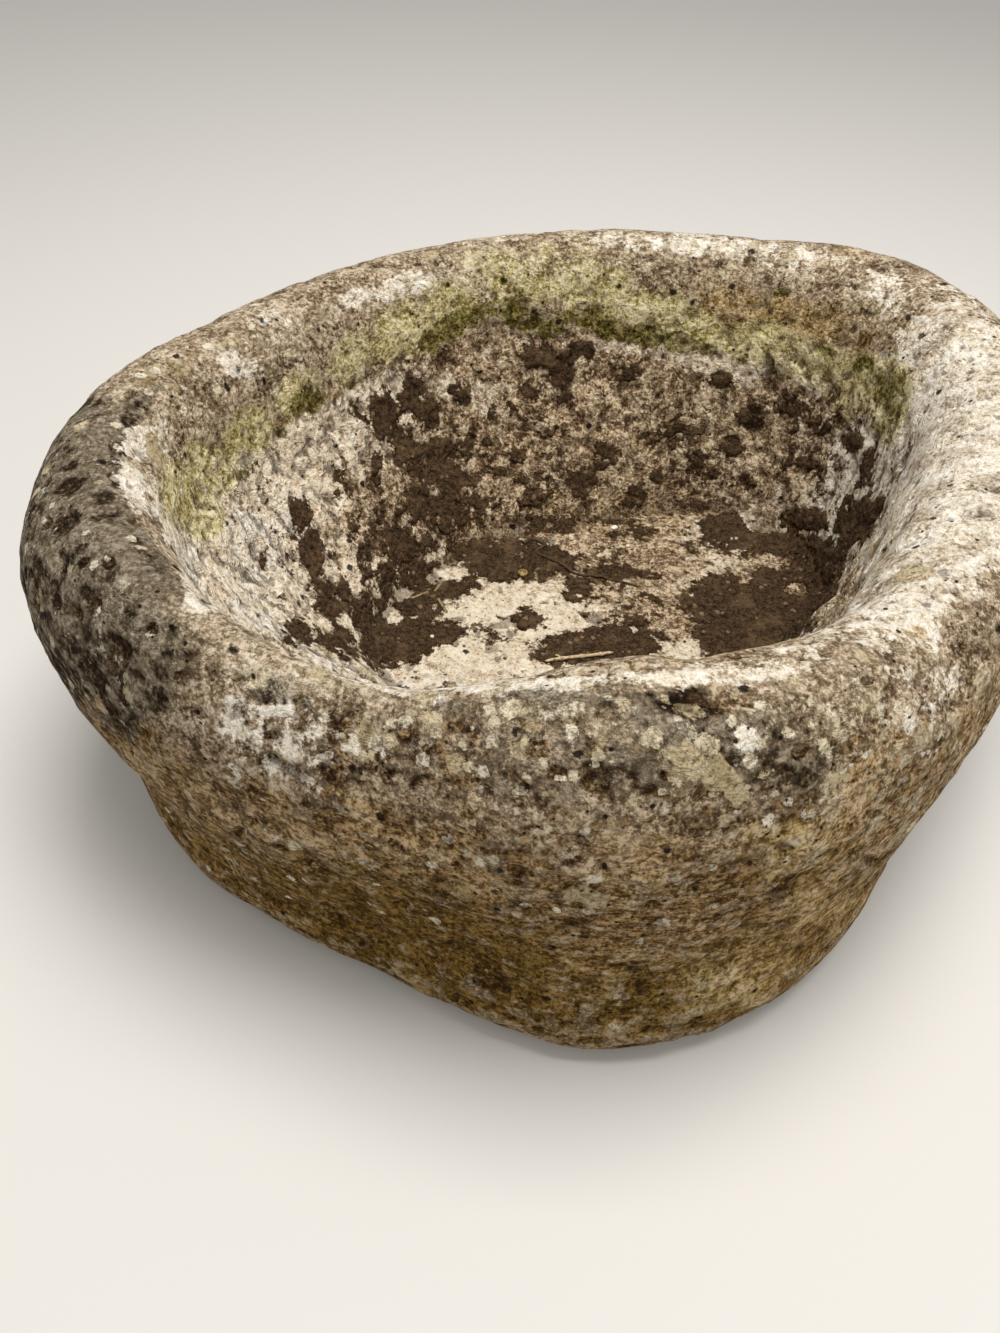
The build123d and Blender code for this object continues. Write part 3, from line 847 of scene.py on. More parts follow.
# name, three tones, shift and width of the tones, then edge size, raggedness,
# softness and strength of the mask
layers = (
    ("crown", (80, 63, 45), (148, 128, 104), (214, 196, 170), 0.0, 0.062, 0.022, 0.7, 0.26, 0.90),
    ("brown", (36, 24, 11), (80, 57, 33), (152, 124, 86), 0.012, 0.062, 0.020, 0.8, 0.25, 0.95),
    ("bare", (170, 146, 116), (236, 217, 190), (253, 243, 222), -0.025, 0.070, 0.012, 0.5, 0.12, 1.0),
    ("wash", (72, 50, 28), (146, 120, 89), (224, 202, 170), 0.0, 0.055, 0.013, 1.0, 0.20, 0.94),
    ("olive", (54, 36, 5), (98, 73, 26), (144, 114, 58), 0.0, 0.062, 0.030, 0.5, 0.35, 0.92),
    ("ochre", (114, 86, 38), (178, 148, 94), (228, 204, 150), 0.0, 0.062, 0.024, 0.7, 0.40, 0.75),
    ("dark", (26, 19, 12), (56, 43, 30), (112, 95, 74), 0.022, 0.062, 0.016, 0.7, 0.20, 0.96),
    ("pale", (172, 150, 122), (238, 226, 204), (254, 249, 238), -0.025, 0.062, 0.009, 1.0, 0.12, 0.95),
    ("taupe", (112, 94, 76), (170, 150, 128), (222, 208, 188), 0.0, 0.062, 0.010, 1.0, 0.14, 0.62),
    ("algae", (138, 122, 64), (210, 196, 140), (244, 234, 192), 0.0, 0.062, 0.016, 0.6, 0.32, 0.90),
    ("moss", (44, 38, 4), (90, 82, 28), (152, 140, 80), 0.0, 0.062, 0.009, 0.9, 0.16, 0.93),
    ("blue", (54, 46, 36), (96, 86, 72), (160, 150, 132), 0.0, 0.062, 0.010, 0.9, 0.14, 0.85),
)
for name, dark, middle, light, shift, width, *mask_values in layers:
    colour = lay(colour, name, speckled(dark, middle, light, shift, width), *mask_values)
print("layers over the bare stone", [layer[0] for layer in layers])

# %% Lichen, soil stain, painted shade and highlight, and pits
soil_edge, soil_raggedness = 0.0085, 1.0
lichen_amount = attribute(tree, "lichen")
bump_height = calc(tree, "ADD", calc(tree, "MULTIPLY", fine, 0.35), calc(tree, "MULTIPLY", mottle, 1.5))
bump_height = calc(tree, "ADD", bump_height, calc(tree, "MULTIPLY", texture["Fleck"], 0.20))
for disc_size, share, tint in (
        (0.0200, 0.44, ((158, 138, 100), (216, 200, 162))),
        (0.0115, 0.56, ((184, 166, 128), (234, 221, 190))),
        (0.0064, 0.60, ((202, 186, 152), (246, 238, 216)))):
    disc = group(tree, discs, Vector=coords, Size=disc_size,
                 Amount=calc(tree, "MULTIPLY", lichen_amount, share))
    shade = blend(tree, disc["Tint"], paint(*tint[0]), paint(*tint[1]))
    shade = blend(tree, step(tree, speck, 0.42, 0.53, 0.72, 0.0), shade, paint(104, 82, 52))
    colour = blend(tree, calc(tree, "MULTIPLY", disc["Spot"], 0.93), colour, shade)
    bump_height = calc(tree, "ADD", bump_height, calc(tree, "MULTIPLY", disc["Spot"], 0.34))
colour = lay(colour, "soil", speckled((56, 39, 22), (80, 60, 39), (112, 90, 64)),
             soil_edge, soil_raggedness, 0.05)
slanted = put(tree, "ShaderNodeVectorRotate", {"Vector": coords, **stroke_slant}).outputs[0]
pick_dents_and_shade = noise(tree, stretched(tree, slanted, 1.0, 1.0, 0.45), 105.0, 3.0, 0.6, 0.5)
pick_dents_and_shade = step(tree, pick_dents_and_shade, 0.58, 0.65)
pick_dents_and_shade = calc(tree, "MULTIPLY", pick_dents_and_shade, attribute(tree, "worked"))
# painted shade: the pick strokes are darkened in colour, standing in for the shade in their grooves; they are
# also pressed into the bump
colour = blend(tree, calc(tree, "MULTIPLY", pick_dents_and_shade, 0.55), colour, paint(84, 62, 40))
bump_height = calc(tree, "SUBTRACT", bump_height, calc(tree, "MULTIPLY", pick_dents_and_shade, 1.2))
bump_height = calc(tree, "ADD", bump_height, calc(tree, "MULTIPLY", cloud, 5.0))
hollow = attribute(tree, "hollow")
# painted shade: points in the hollows of the surface are darkened, standing in for the shade that falls into
# them
painted_hollow_shade = calc(tree, "MULTIPLY", step(tree, hollow, 0.62, 0.98), 0.60)
colour = blend(tree, painted_hollow_shade, colour, speckled((38, 26, 13), (62, 45, 27), (98, 76, 50)))
# painted highlight: high spots and ridges of the surface are lightened toward pale
painted_ridge_highlight = calc(tree, "MULTIPLY", step(tree, hollow, 0.40, 0.05), 0.30)
colour = blend(tree, painted_ridge_highlight, colour, speckled((150, 132, 104), (200, 182, 152), (240, 228, 206)))
# painted shade: each pit is coloured nearly black, standing in for the shade inside it, and sunk in the bump
for pit_size, share, pit_depth in ((0.0125, 0.40, 1.4), (0.0058, 0.36, 0.9)):
    holes = group(tree, pitted, Vector=coords, Size=pit_size, Amount=share)["Spot"]
    colour = blend(tree, calc(tree, "MULTIPLY", holes, 0.94), colour, paint(26, 19, 12))
    bump_height = calc(tree, "SUBTRACT", bump_height, calc(tree, "MULTIPLY", holes, pit_depth))

tree.links.new(colour, surface.inputs["Base Color"])
tree.links.new(step(tree, speck, 0.3, 0.7, 0.96, 0.82), surface.inputs["Roughness"])
surface.inputs["Specular IOR Level"].default_value = 0.05
relief = put(tree, "ShaderNodeBump", {"Height": bump_height, "Strength": 1.0, "Distance": 0.0020})
tree.links.new(relief.outputs[0], surface.inputs["Normal"])

# %% [markdown]
# ## Crusts of dried soil
#
# Soil has dried on the floor and run down the walls in thin crusts. A crust follows
# every dent under it, so it is grown from the stone's own surface: the faces under
# the soil mask are taken, made finer, lifted by the crust's thickness where the mask
# is high, and sunk just under the stone at its edge. The ragged edge uses the same
# noise as the soil's stain, so crust and stain end at nearly the same line. The bits
# that are too small to show are dropped, the sheet gets an underside, and crumbs are
# scattered on top.

# %% The crust as a Geometry Nodes tree
crust_sizes = {"Thickness": 0.0020, "Edge Size": soil_edge, "Raggedness": soil_raggedness,
               "Clod Size": 0.006, "Sink": 0.0007}
crust, size, out = shaping_tree("dried soil crust", crust_sizes)
wanted = calc(crust, "MULTIPLY", named(crust, "soil"), named(crust, "here"))
drop = put(crust, "GeometryNodeDeleteGeometry", {
    "Geometry": size["Geometry"], "Selection": calc(crust, "LESS_THAN", wanted, 0.18)}, domain="POINT")
finer = put(crust, "GeometryNodeSubdivideMesh", {"Mesh": drop.outputs[0], "Level": 1}).outputs[0]
place = crust.nodes.new("GeometryNodeInputPosition").outputs[0]
speckle = noise(crust, place, calc(crust, "DIVIDE", 1.0, size["Edge Size"]), 8.0, 0.72)
swing = edge_swing(crust, speckle, place, size["Edge Size"])
amount = calc(crust, "ADD", wanted, calc(crust, "MULTIPLY", swing, size["Raggedness"]))
drop = put(crust, "GeometryNodeDeleteGeometry", {
    "Geometry": finer, "Selection": calc(crust, "LESS_THAN", amount, 0.47)}, domain="POINT")
clods = noise(crust, place, calc(crust, "DIVIDE", 1.0, size["Clod Size"]), 4.0, 0.6)
lumpy_lift = calc(crust, "ADD", calc(crust, "MULTIPLY", clods, 2.2), -0.25)
lift = calc(crust, "MULTIPLY", step(crust, amount, 0.49, 0.80), lumpy_lift)
lift = calc(crust, "SUBTRACT", calc(crust, "MULTIPLY", lift, size["Thickness"]), size["Sink"])
outward = put(crust, "ShaderNodeVectorMath", {0: crust.nodes.new("GeometryNodeInputNormal").outputs[0]},
              operation="SCALE")
crust.links.new(lift, outward.inputs["Scale"])
moved = put(crust, "GeometryNodeSetPosition", {"Geometry": drop.outputs[0], "Offset": outward.outputs[0]})
end_tree(crust, moved.outputs[0], size["Material"], out)

# %% [markdown]
# ## The soil's finish
#
# Dry soil is dark, matte and crumbly, paler where it is dusty, with a few pale grains.
# Its bump is lumps of about a centimetre with finer and finer grains inside them.

# %% Soil material
soil_finish = bpy.data.materials.new("dried_soil")
tree, coords, surface = start_finish(soil_finish)
texture = group(tree, grain, Vector=coords)
mottle, fine = texture["Mottle"], texture["Grain"]
speck = calc(tree, "ADD", calc(tree, "MULTIPLY", mottle, 0.5), calc(tree, "MULTIPLY", fine, 0.5))
colour = blend(tree, step(tree, speck, 0.42, 0.60), paint(40, 27, 15), paint(92, 71, 48))
dust = step(tree, noise(tree, coords, 70.0, 6.0, 0.72), 0.50, 0.64)
colour = blend(tree, calc(tree, "MULTIPLY", dust, 0.42), colour, paint(124, 100, 72))
grains = group(tree, discs, Vector=coords, Size=0.0036, Amount=0.10)
colour = blend(tree, calc(tree, "MULTIPLY", grains["Spot"], 0.6), colour, paint(158, 134, 102))
tree.links.new(colour, surface.inputs["Base Color"])
tree.links.new(step(tree, fine, 0.3, 0.7, 0.98, 0.88), surface.inputs["Roughness"])
surface.inputs["Specular IOR Level"].default_value = 0.2
lumpy = calc(tree, "ADD", calc(tree, "MULTIPLY", mottle, 1.2), calc(tree, "MULTIPLY", fine, 0.6))
lumpy = calc(tree, "ADD", lumpy, calc(tree, "MULTIPLY", texture["Cloud"], 4.0))
relief = put(tree, "ShaderNodeBump", {"Height": lumpy, "Strength": 1.0, "Distance": 0.0018})
tree.links.new(relief.outputs[0], surface.inputs["Normal"])

# %% Crumbs on the crusts
crumb_sizes = {"Crumb Radius": 0.0011, "Spacing": 0.0045, "Density": 22000.0}
crumbs, size, out = shaping_tree("soil crumbs", crumb_sizes)
place = crumbs.nodes.new("GeometryNodeInputPosition").outputs[0]
inward = stretched(crumbs, place, -1.0, -1.0, 0.0)
inward = put(crumbs, "ShaderNodeVectorMath", {0: inward, 1: (0.0, 0.0, 0.15)}, operation="ADD").outputs[0]
facing = put(crumbs, "ShaderNodeVectorMath", {
    0: inward, 1: crumbs.nodes.new("GeometryNodeInputNormal").outputs[0]}, operation="DOT_PRODUCT")
scatter = put(crumbs, "GeometryNodeDistributePointsOnFaces", {
    "Mesh": size["Geometry"], "Selection": calc(crumbs, "GREATER_THAN", facing.outputs["Value"], 0.02),
    "Distance Min": size["Spacing"], "Density Max": size["Density"], "Seed": 4}, distribute_method="POISSON")
ball = put(crumbs, "GeometryNodeMeshIcoSphere", {
    "Radius": size["Crumb Radius"], "Subdivisions": 2}).outputs[0]
dented = put(crumbs, "ShaderNodeVectorMath", {
    0: put(crumbs, "ShaderNodeTexNoise", {"Scale": 700.0}).outputs["Color"], 1: (0.0011, 0.0011, 0.0011),
    2: (-0.0005, -0.0005, -0.0005)}, operation="MULTIPLY_ADD").outputs[0]
ball = put(crumbs, "GeometryNodeSetPosition", {"Geometry": ball, "Offset": dented}).outputs[0]
spin = put(crumbs, "FunctionNodeRandomValue", {"Min": (0, 0, 0), "Max": (6.3, 6.3, 6.3), "Seed": 5},
           data_type="FLOAT_VECTOR").outputs[0]
grow = put(crumbs, "FunctionNodeRandomValue", {2: 0.35, 3: 1.25, "Seed": 6}, data_type="FLOAT").outputs[1]
laid = put(crumbs, "GeometryNodeInstanceOnPoints", {
    "Points": scatter.outputs["Points"], "Instance": ball, "Rotation": spin, "Scale": grow})
whole = put(crumbs, "GeometryNodeRealizeInstances", {0: laid.outputs[0]})
joined = crumbs.nodes.new("GeometryNodeJoinGeometry")
crumbs.links.new(whole.outputs[0], joined.inputs[0])
crumbs.links.new(size["Geometry"], joined.inputs[0])
dressed = put(crumbs, "GeometryNodeSetMaterial", {
    "Geometry": joined.outputs[0], "Material": size["Material"]})
crumbs.links.new(dressed.outputs[0], out.inputs[0])

# %% Grow each crust where its solid lies
floor_top = 0.072  # below this level a crust lies on the floor, above it on a wall
underside_depth = 0.0014


def sector(places, start, end):
    turn = np.degrees(np.arctan2(places[:, 1], places[:, 0])) % 360
    return ((turn - start) % 360) < ((end - start) % 360)


def clean_crust(mesh, fewest_faces=14):
    """Drop bits too small to be seen as crust, and part the corners where two bits only touch."""
    shape = bmesh.new()
    shape.from_mesh(mesh)
    shape.faces.ensure_lookup_table()
    group_of, groups = {}, []
    for first in shape.faces:
        if first in group_of:
            continue
        found, queue = {first}, [first]
        while queue:
            for edge in queue.pop().edges:
                for face in edge.link_faces:
                    if face not in found:
                        found.add(face)
                        queue.append(face)
        groups.append(found)
        group_of.update((face, len(groups)) for face in found)
    small = [face for found in groups if len(found) < fewest_faces for face in found]
    bmesh.ops.delete(shape, geom=small, context="FACES")
    for vertex in [v for v in shape.verts if sum(edge.is_boundary for edge in v.link_edges) > 2]:
        bmesh.utils.vert_separate(vertex, [edge for edge in vertex.link_edges if edge.is_boundary])
    shape.to_mesh(mesh)
    shape.free()


crust_regions = {
    "soil_crust_floor": None,
    "soil_crust_left_wall": (152, 290),
    "soil_crust_back_left_corner": (116, 152),
    "soil_crust_back_wall": (34, 116),
    "soil_crust_right_corner": (290, 34),
}
soil_pieces = []
for node, span in crust_regions.items():
    on_floor = places[:, 2] < floor_top
    here = on_floor if span is None else ~on_floor & sector(places, *span)
    piece = add_piece("dried_" + node, stone.data.copy())
    keep_mask(piece.data, "here", here & (in_basin > 0.5))
    add_nodes_modifier(piece, crust, {**crust_sizes, "Material": soil_finish})
    clean_crust(settle(piece))
    shell = piece.modifiers.new("underside", "SOLIDIFY")
    shell.thickness, shell.offset = underside_depth, -1.0
    settle(piece)
    add_nodes_modifier(piece, crumbs, {**crumb_sizes, "Material": soil_finish})
    settle(piece)
    shade_smooth(piece.data)
    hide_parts(node)
    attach(piece, "root")
    soil_pieces.append(piece)
    print(piece.name, "triangles", triangle_count(piece.data))

# %% [markdown]
# ## Dry litter in the basin
#
# A twig, a curly root, bits of straw, a seed husk, a chip of white stone and crumbs
# of grit lie loose on the floor. Each rests on the finished surface: a ray is sent
# straight down to find the height there, so a stick follows the crust's bumps. Thin
# stems are tubes built ring by ring, because each ring can then have its own
# thickness and its own uneven outline. A bevelled curve keeps one outline.

# %% Where the ground is
def ground_tree():
    """The surface of the stone and the crusts, for finding the height under a point."""
    corners, faces = [], []
    for piece in [stone] + soil_pieces:
        start = len(corners)
        corners += [tuple(place) for place in vertex_places(piece.data)]
        faces += [[start + i for i in face.vertices] for face in piece.data.polygons]
    return BVHTree.FromPolygons(corners, faces)


ground = ground_tree()


def ground_height(x, y):
    return ground.ray_cast(Vector((x, y, 0.20)), Vector((0, 0, -1)))[0].z


husk_middle = (-0.0275, 0.0475)
print("ground under the husk", round(1000 * ground_height(*husk_middle), 1), "mm")

# %% Stems
def smooth_path(points, count):
    """Points evenly spread on the smooth line through the given ones."""
    points = [Vector(point) for point in points]
    points = [2 * points[0] - points[1]] + points + [2 * points[-1] - points[-2]]
    path = []
    for i in range(count):
        share = i / (count - 1) * (len(points) - 3)
        k = min(int(share), len(points) - 4)
        t, (a, b, c, d) = share - k, points[k:k + 4]
        path.append(0.5 * (2 * b + (c - a) * t + (2 * a - 5 * b + 4 * c - d) * t * t
                           + (3 * b - a - 3 * c + d) * t ** 3))
    return path


def add_stem(shape, path, thickness, ring=10, roughness=0.12, seed=0):
    """A closed tube along a path. Thickness is a function of the share of its length."""
    rings = []
    for i, middle in enumerate(path):
        ahead_here = (path[min(i + 1, len(path) - 1)] - path[max(i - 1, 0)]).normalized()
        side = ahead_here.cross(Vector((0, 0, 1))).normalized()
        up = side.cross(ahead_here)
        radius = thickness(i / (len(path) - 1))
        corners = []
        for j in range(ring):
            turn = 2 * pi * j / ring
            bump = 1 + roughness * hash_noise(i * 0.55, j * 1.7, seed)
            corners.append(shape.verts.new(
                middle + radius * bump * (cos(turn) * side + sin(turn) * up)))
        rings.append(corners)
    for first, second in zip(rings, rings[1:]):
        for j in range(ring):
            shape.faces.new((first[j], first[(j + 1) % ring], second[(j + 1) % ring], second[j]))
    for corners, way in ((rings[0], -1), (rings[-1], 1)):
        tip = shape.verts.new(sum((v.co for v in corners), Vector()) / ring)
        for j in range(ring):
            shape.faces.new((corners[j], corners[(j + 1) % ring], tip)[::way])


def hash_noise(x, y, seed):
    """Smooth noise from -1 to 1 that is the same on each run."""
    return noise_value(Vector((x, y, 7.3 * seed)))


def lay_on_ground(points, radius, sink=0.25):
    """Points of a stem that lies on the ground: each x and y gets the height there."""
    return [(x, y, ground_height(x, y) + radius * (1 - sink)) for x, y in points]


def finish_litter(name, node, shape, material):
    bmesh.ops.recalc_face_normals(shape, faces=shape.faces)
    mesh = bpy.data.meshes.new(name)
    shape.to_mesh(mesh)
    shape.free()
    shade_smooth(mesh)
    mesh.materials.append(material)
    piece = add_piece(name, mesh)
    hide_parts(node)
    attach(piece, "root")
    places = vertex_places(mesh)
    print(name, "triangles", triangle_count(mesh), "from",
          (places.min(0) * 1000).round(1), "to", (places.max(0) * 1000).round(1), "mm")


# %% [markdown]
# ## Finishes of the litter
#
# All the litter shares one recipe: two tones mixed by a coarse noise and by the
# mineral grain of the trough, with small dark pits. Fibres would have to follow each
# curved stem, and on sticks a millimetre thick a fine noise looks the same. Each piece
# has its own tones, size of speck and roughness.

# %% Litter materials
def litter_finish(name, dark, light, speck_size, roughness, bump):
    material = bpy.data.materials.new(name)
    tree, coords, surface = start_finish(material)
    coarse = noise(tree, coords, 1 / speck_size, 5.0, 0.7, 0.8)
    grain_here = group(tree, grain, Vector=coords)["Grain"]
    mixed = calc(tree, "ADD", calc(tree, "MULTIPLY", coarse, 0.65), calc(tree, "MULTIPLY", grain_here, 0.35))
    colour = blend(tree, step(tree, mixed, 0.36, 0.62), paint(*dark), paint(*light))
    spots = group(tree, pitted, Vector=coords, Size=speck_size * 1.6, Amount=0.4)["Spot"]
    colour = blend(tree, calc(tree, "MULTIPLY", spots, 0.6), colour, paint(*[0.55 * c for c in dark]))
    tree.links.new(colour, surface.inputs["Base Color"])
    tree.links.new(step(tree, mixed, 0.3, 0.7, roughness + 0.1, roughness - 0.1), surface.inputs["Roughness"])
    surface.inputs["Specular IOR Level"].default_value = 0.3
    relief = put(tree, "ShaderNodeBump", {
        "Height": calc(tree, "SUBTRACT", mixed, spots), "Strength": 1.0, "Distance": bump})
    tree.links.new(relief.outputs[0], surface.inputs["Normal"])
    return material


twig_finish = litter_finish("pale_twig_bark", (140, 112, 80), (224, 204, 170), 0.0022, 0.78, 0.0005)
root_finish = litter_finish("dark_root_bark", (38, 27, 18), (92, 72, 50), 0.0020, 0.82, 0.0006)
straw_finish = litter_finish("dry_straw", (104, 82, 56), (158, 134, 98), 0.0018, 0.66, 0.0003)
husk_finish = litter_finish("seed_husk", (112, 88, 54), (182, 156, 108), 0.0018, 0.74, 0.0004)
chip_finish = litter_finish("white_chip_stone", (214, 204, 184), (250, 247, 240), 0.0016, 0.70, 0.0004)
grit_finish = litter_finish("pale_grit", (190, 172, 140), (236, 226, 204), 0.0014, 0.80, 0.0004)
litter_finishes = (twig_finish, root_finish, straw_finish, husk_finish, chip_finish, grit_finish)
print("litter finishes", [finish.name for finish in litter_finishes])

# %% [markdown]
# ## The twig
#
# A short pale twig lies by the front edge of the floor. It is forked at its left end,
# a little thicker at its knots and torn at its tips.

# %% Twig
def knotty(radius, knots):
    def thickness(share):
        swell = sum(0.35 * exp(-((share - knot) / 0.035) ** 2) for knot in knots)
        tip = min(1.0, 0.45 + 9 * min(share, 1 - share))
        return radius * (0.92 + swell) * tip
    return thickness


twig_radius, fork_radius, twig_lift = 0.0011, 0.00062, 0.0004
twig = bmesh.new()
twig_line = smooth_path([(-0.0121, -0.0365, 0), (-0.001, -0.0335, 0), (0.0108, -0.0309, 0),
                         (0.020, -0.0287, 0), (0.0297, -0.0262, 0)], 60)
main_stem = [Vector(p) for p in lay_on_ground([(p.x, p.y) for p in twig_line], twig_radius)]
mean_height = sum(p.z for p in main_stem) / len(main_stem)
main_stem = [Vector((p.x, p.y, 0.3 * p.z + 0.7 * mean_height + twig_lift)) for p in main_stem]
add_stem(twig, main_stem, knotty(twig_radius, (0.22, 0.48, 0.81)), seed=1)
fork_start = main_stem[13]
# each prong of the fork: turn in degrees, reach and seed
for turn, reach, seed in ((205, 0.0075, 2), (150, 0.0045, 3)):
    tip = fork_start + Vector((cos(radians(turn)), sin(radians(turn)), 0.12)) * reach
    bend = (fork_start + tip) / 2 + Vector((0, 0.0004, 0.0003))
    add_stem(twig, smooth_path([fork_start, bend, tip], 14), knotty(fork_radius, (0.4,)), ring=8, seed=seed)
finish_litter("dry_twig", "twig", twig, twig_finish)

# %% [markdown]
# ## The curly root
#
# A dark root curls in a loop and runs off to the right. Thin rootlets stand off it.

# %% Root
root_route = [(-0.0275, 0.0839), (-0.0198, 0.0900), (-0.0121, 0.0839), (-0.0187, 0.0748),
              (-0.0044, 0.0627), (0.0081, 0.0516), (0.0216, 0.0506), (0.0364, 0.0465), (0.0512, 0.0394)]
root_radius, root_seat, rootlet_radius = 0.0013, 0.0012, 0.00042
rootlet_lift, rootlet_droop = 0.0003, 0.0012
root_shape = bmesh.new()
root_line = smooth_path([(x, y, 0) for x, y in root_route], 150)
root_line = [Vector(p) for p in lay_on_ground([(p.x, p.y) for p in root_line], root_seat)]
for _ in range(6):
    evened = [Vector((b.x, b.y, (a.z + 2 * b.z + c.z) / 4))
              for a, b, c in zip(root_line, root_line[1:], root_line[2:])]
    root_line = [root_line[0]] + evened + [root_line[-1]]


def root_thickness(share):
    return root_radius * (1.05 - 0.62 * share) * min(1.0, 0.4 + 14 * (1 - share))


def rootlet_thickness(share):
    return rootlet_radius * (1.1 - 0.7 * share)


add_stem(root_shape, root_line, root_thickness, roughness=0.22, seed=4)
# each rootlet: the point of the root that it leaves, turn in degrees, reach and seed
rootlets = ((12, 150, 0.010, 5), (34, 60, 0.009, 6), (58, 230, 0.012, 7), (80, 80, 0.010, 8),
            (100, 300, 0.011, 9), (118, 40, 0.009, 10), (134, 250, 0.010, 11))
for start, turn, reach, seed in rootlets:
    begin = root_line[start]
    route = [begin]
    for share in (0.35, 0.7, 1.0):
        bend = radians(turn + 38 * hash_noise(share * 3, seed, 1) + 30 * share)
        x, y = begin.x + reach * share * cos(bend), begin.y + reach * share * sin(bend)
        route.append(Vector((x, y, max(ground_height(x, y) + rootlet_lift, begin.z - rootlet_droop * share))))
    add_stem(root_shape, smooth_path(route, 16), rootlet_thickness, ring=6, seed=seed)
finish_litter("curly_root", "root", root_shape, root_finish)

# %% [markdown]
# ## Straw
#
# Three bits of straw lie on the left. Straw is hollow and gets trodden flat, so each
# bit is a flattened tube, split open along the top into a gutter.

# %% Straw bits
straw_length, straw_width, straw_wall, straw_lift = 0.0128, 0.00105, 0.00022, 0.0002
trodden = 0.62  # how high a straw stands, as a share of a round one
straw_places = ((-0.0945, 0.0212, 35), (-0.0791, 0.0121, 120), (-0.0835, 0.0324, 75))


def add_straw(shape, middle, turn, seed):
    half = Vector((cos(radians(turn)), sin(radians(turn)), 0)) * (straw_length / 2)
    rings, count = [], 26
    ends = [middle - half, middle + half]
    heights = [ground_height(p.x, p.y) for p in ends]
    for i in range(count):
        share = i / (count - 1)
        centre = ends[0].lerp(ends[1], share)
        resting = heights[0] * (1 - share) + heights[1] * share
        centre.z = max(resting, ground_height(centre.x, centre.y)) + straw_lift
        side = half.cross(Vector((0, 0, 1))).normalized()
        width = straw_width * (1 + 0.12 * hash_noise(share * 4, seed, 2))
        arc = [radians(200 + 140 * k / 8) for k in range(9)]
        outer = [centre + side * width * cos(a)
                 + Vector((0, 0, trodden * width * (1 + sin(a)))) for a in arc]
        inner = [centre + side * (width - straw_wall) * cos(a)
                 + Vector((0, 0, straw_wall + trodden * (width - straw_wall) * (1 + sin(a))))
                 for a in reversed(arc)]
        rings.append([shape.verts.new(corner) for corner in outer + inner])
    for first, second in zip(rings, rings[1:]):
        for j in range(len(first)):
            k = (j + 1) % len(first)
            shape.faces.new((first[j], first[k], second[k], second[j]))
    for corners in (rings[0], rings[-1]):
        for j in range(8):
            shape.faces.new((corners[j], corners[j + 1], corners[16 - j], corners[17 - j]))


straws = bmesh.new()
for seed, (x, y, turn) in enumerate(straw_places):
    add_straw(straws, Vector((x, y, 0)), turn, seed + 1)
finish_litter("dry_straw_bits", "straw_bits", straws, straw_finish)

# %% [markdown]
# ## The seed husk
#
# An empty round husk sits beside the root: a thin brown cup with a torn rim.

# %% Husk
husk_radius, husk_height, husk_wall, husk_sink = 0.0032, 0.0024, 0.0006, 0.0003
husk_place = Vector((*husk_middle, ground_height(*husk_middle) - husk_sink))
husk = bmesh.new()
around = 40
profile = [(0.20, 0.00), (0.62, 0.05), (0.90, 0.30), (1.00, 0.62), (0.95, 1.0)]
shells = []
for wall, order in ((0.0, profile), (husk_wall, profile[::-1])):
    for out_share, up_share in order:
        row = []
        for j in range(around):
            turn = 2 * pi * j / around
            torn = 1 + 0.16 * hash_noise(3 * cos(turn), 3 * sin(turn), 3) * (up_share > 0.9)
            ribs = 1 + 0.035 * cos(9 * turn)
            reach = (husk_radius * out_share - wall * (1 if out_share > 0.3 else 0.4)) * ribs
            height_here = husk_height * up_share * torn + (wall if up_share < 0.3 else 0.0)
            corner = Vector((reach * cos(turn), reach * sin(turn), height_here))
            row.append(husk.verts.new(husk_place + corner))
        shells.append(row)
for first, second in zip(shells, shells[1:]):
    for j in range(around):
        husk.faces.new((first[j], first[(j + 1) % around], second[(j + 1) % around], second[j]))
for row in (shells[0], shells[-1]):
    middle = husk.verts.new(sum((v.co for v in row), Vector()) / around)
    for j in range(around):
        husk.faces.new((row[j], row[(j + 1) % around], middle))
finish_litter("dry_seed_husk", "seed_husk", husk, husk_finish)

# %% [markdown]
# ## The white chip and the grit
#
# Broken stone has flat faces and sharp corners, worn a little. Each bit is the hull
# of a few uneven points, bevelled, made finer and roughened.

# %% Chip and grit
def add_nugget(shape, middle, size, turn, seed):
    bit = bmesh.new()
    for i in range(16):
        z = 1 - 2 * (i + 0.5) / 16
        flat_reach = (1 - z * z) ** 0.5
        way = 2.4 * i
        push = 0.90 + 0.16 * hash_noise(i * 1.3, 2.1, seed)
        bit.verts.new((flat_reach * cos(way) * push, flat_reach * sin(way) * push, z * push))
    hull = bmesh.ops.convex_hull(bit, input=bit.verts)
    loose = [v for v in hull["geom_interior"] + hull["geom_unused"] if isinstance(v, bmesh.types.BMVert)]
    bmesh.ops.delete(bit, geom=loose, context="VERTS")
    bmesh.ops.bevel(bit, geom=bit.edges[:], offset=0.07, segments=2, affect="EDGES", profile=0.6)
    bmesh.ops.triangulate(bit, faces=bit.faces)
    bmesh.ops.subdivide_edges(bit, edges=bit.edges, cuts=1, use_grid_fill=True)
    turned = Matrix.Rotation(radians(turn), 3, "Z")
    low = min(v.co.z for v in bit.verts)
    new = {}
    for vertex in bit.verts:
        rough = 1 + 0.05 * noise_value(vertex.co * 2.5 + Vector((seed, 0, 0)))
        place = turned @ Vector([rough * c * s / 2 for c, s in zip(vertex.co, size)])
        place.z -= low * size[2] / 2
        new[vertex] = shape.verts.new(middle + place)
    for face in bit.faces:
        shape.faces.new([new[vertex] for vertex in face.verts])
    bit.free()


def on_ground(x, y, sink):
    return Vector((x, y, ground_height(x, y) - sink))


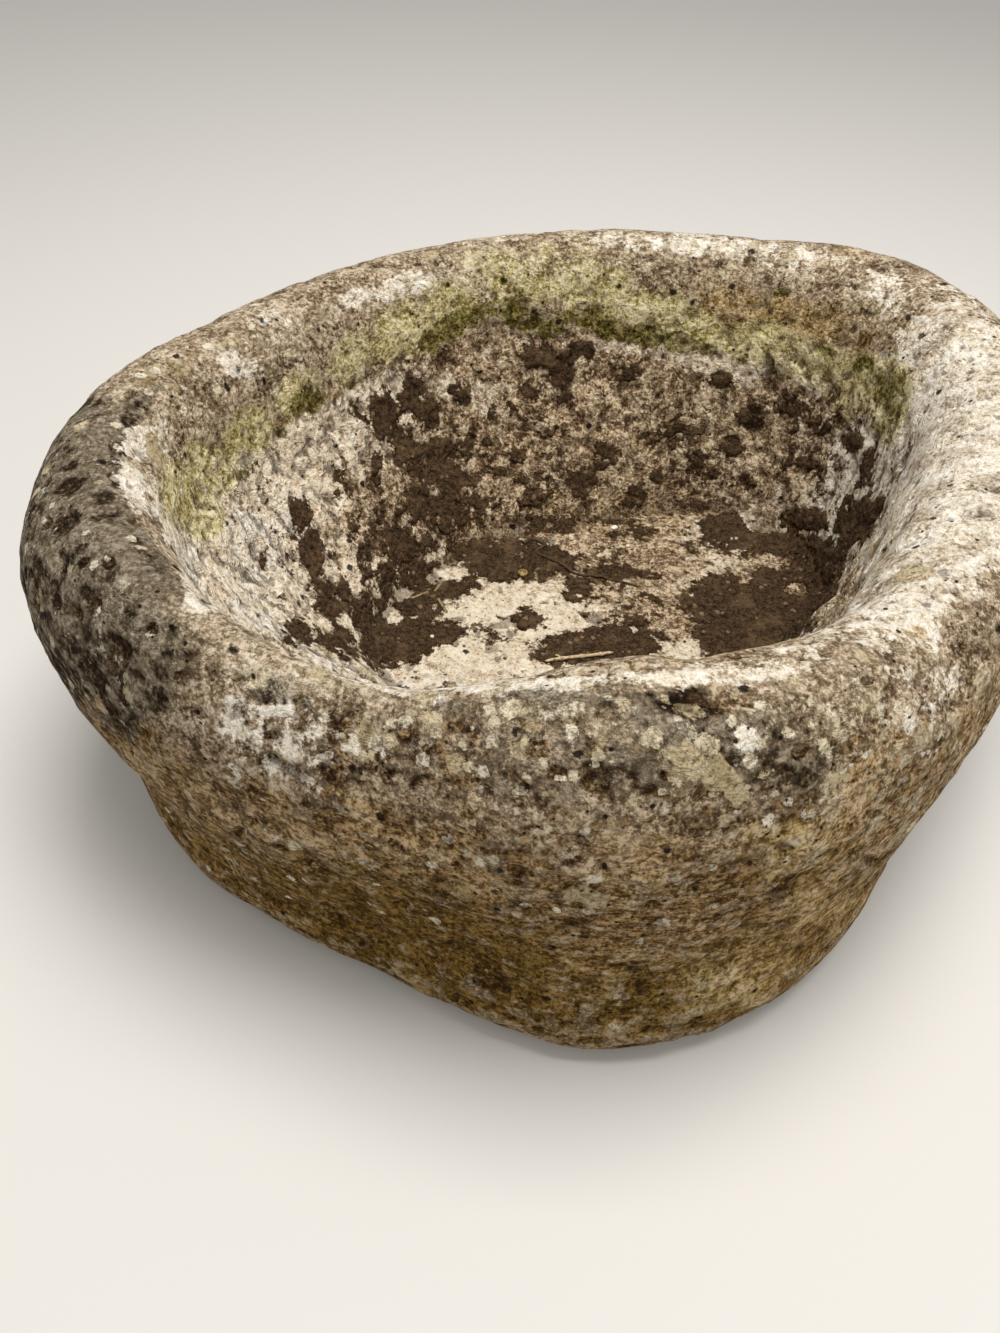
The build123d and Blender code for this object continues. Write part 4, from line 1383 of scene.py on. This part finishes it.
chip_place, chip_size, chip_turn = (0.0377, 0.1071), (0.0070, 0.0045, 0.0030), 25
grit_places, grit_size = ((0.0458, 0.0849), (0.0944, -0.0356), (-0.0835, -0.0178)), (0.0036, 0.0031, 0.0024)
chip_sink, grit_sink = 0.0004, 0.0003
chip = bmesh.new()
add_nugget(chip, on_ground(*chip_place, chip_sink), chip_size, chip_turn, 1)
finish_litter("white_chip", "white_stone_chip", chip, chip_finish)
grit = bmesh.new()
for seed, (x, y) in enumerate(grit_places):
    add_nugget(grit, on_ground(x, y, grit_sink), grit_size, 40 * seed, seed + 2)
finish_litter("pale_grit_crumbs", "grit_crumbs", grit, grit_finish)

# %% Hand the stone over
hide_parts("stone_trough")
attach(stone, "root")

# %% [markdown]
# ## The stage and the light
#
# A plain pale floor and soft light from nearly overhead, as in the photograph, where
# all that faces up is bright and the outside is lit at a low angle. The lamps are
# broad, so that shadows are soft. A weak lamp in front and a white world fill the rest.

# %% Floor, lamp and world
floor_mesh = bpy.data.meshes.new("floor")
floor_mesh.from_pydata([(-5, -5, 0), (5, -5, 0), (5, 5, 0), (-5, 5, 0)], [], [(0, 1, 2, 3)])
floor = add_piece("floor", floor_mesh)
floor_finish = bpy.data.materials.new("pale_floor")
floor_finish.use_nodes = True
floor_surface = floor_finish.node_tree.nodes["Principled BSDF"]
floor_surface.inputs["Base Color"].default_value = (0.66, 0.645, 0.62, 1)
floor_surface.inputs["Roughness"].default_value = 0.9
floor_mesh.materials.append(floor_finish)


def add_lamp(name, place, target, width, power, colour):
    lamp = bpy.data.lights.new(name, "AREA")
    lamp.size, lamp.energy, lamp.color = width, power, colour
    holder = bpy.data.objects.new(name, lamp)
    holder.location = place
    holder.rotation_euler = (Vector(target) - Vector(place)).to_track_quat("-Z", "Y").to_euler()
    bpy.context.scene.collection.objects.link(holder)


trough_middle = (0, 0, 0.15)
add_lamp("skylight", (0.16, 0.0, 1.85), trough_middle, width=0.9, power=33.0, colour=(1.0, 0.97, 0.93))
add_lamp("front_fill", (0.9, -1.5, 1.1), trough_middle, width=1.2, power=5.0, colour=(1.0, 0.98, 0.95))
world = bpy.data.worlds.new("soft_room")
bpy.context.scene.world = world
world.use_nodes = True
background = world.node_tree.nodes["Background"]
background.inputs["Color"].default_value = (1.0, 0.98, 0.95, 1)
background.inputs["Strength"].default_value = 0.50
bpy.context.scene.view_settings.view_transform = "Standard"
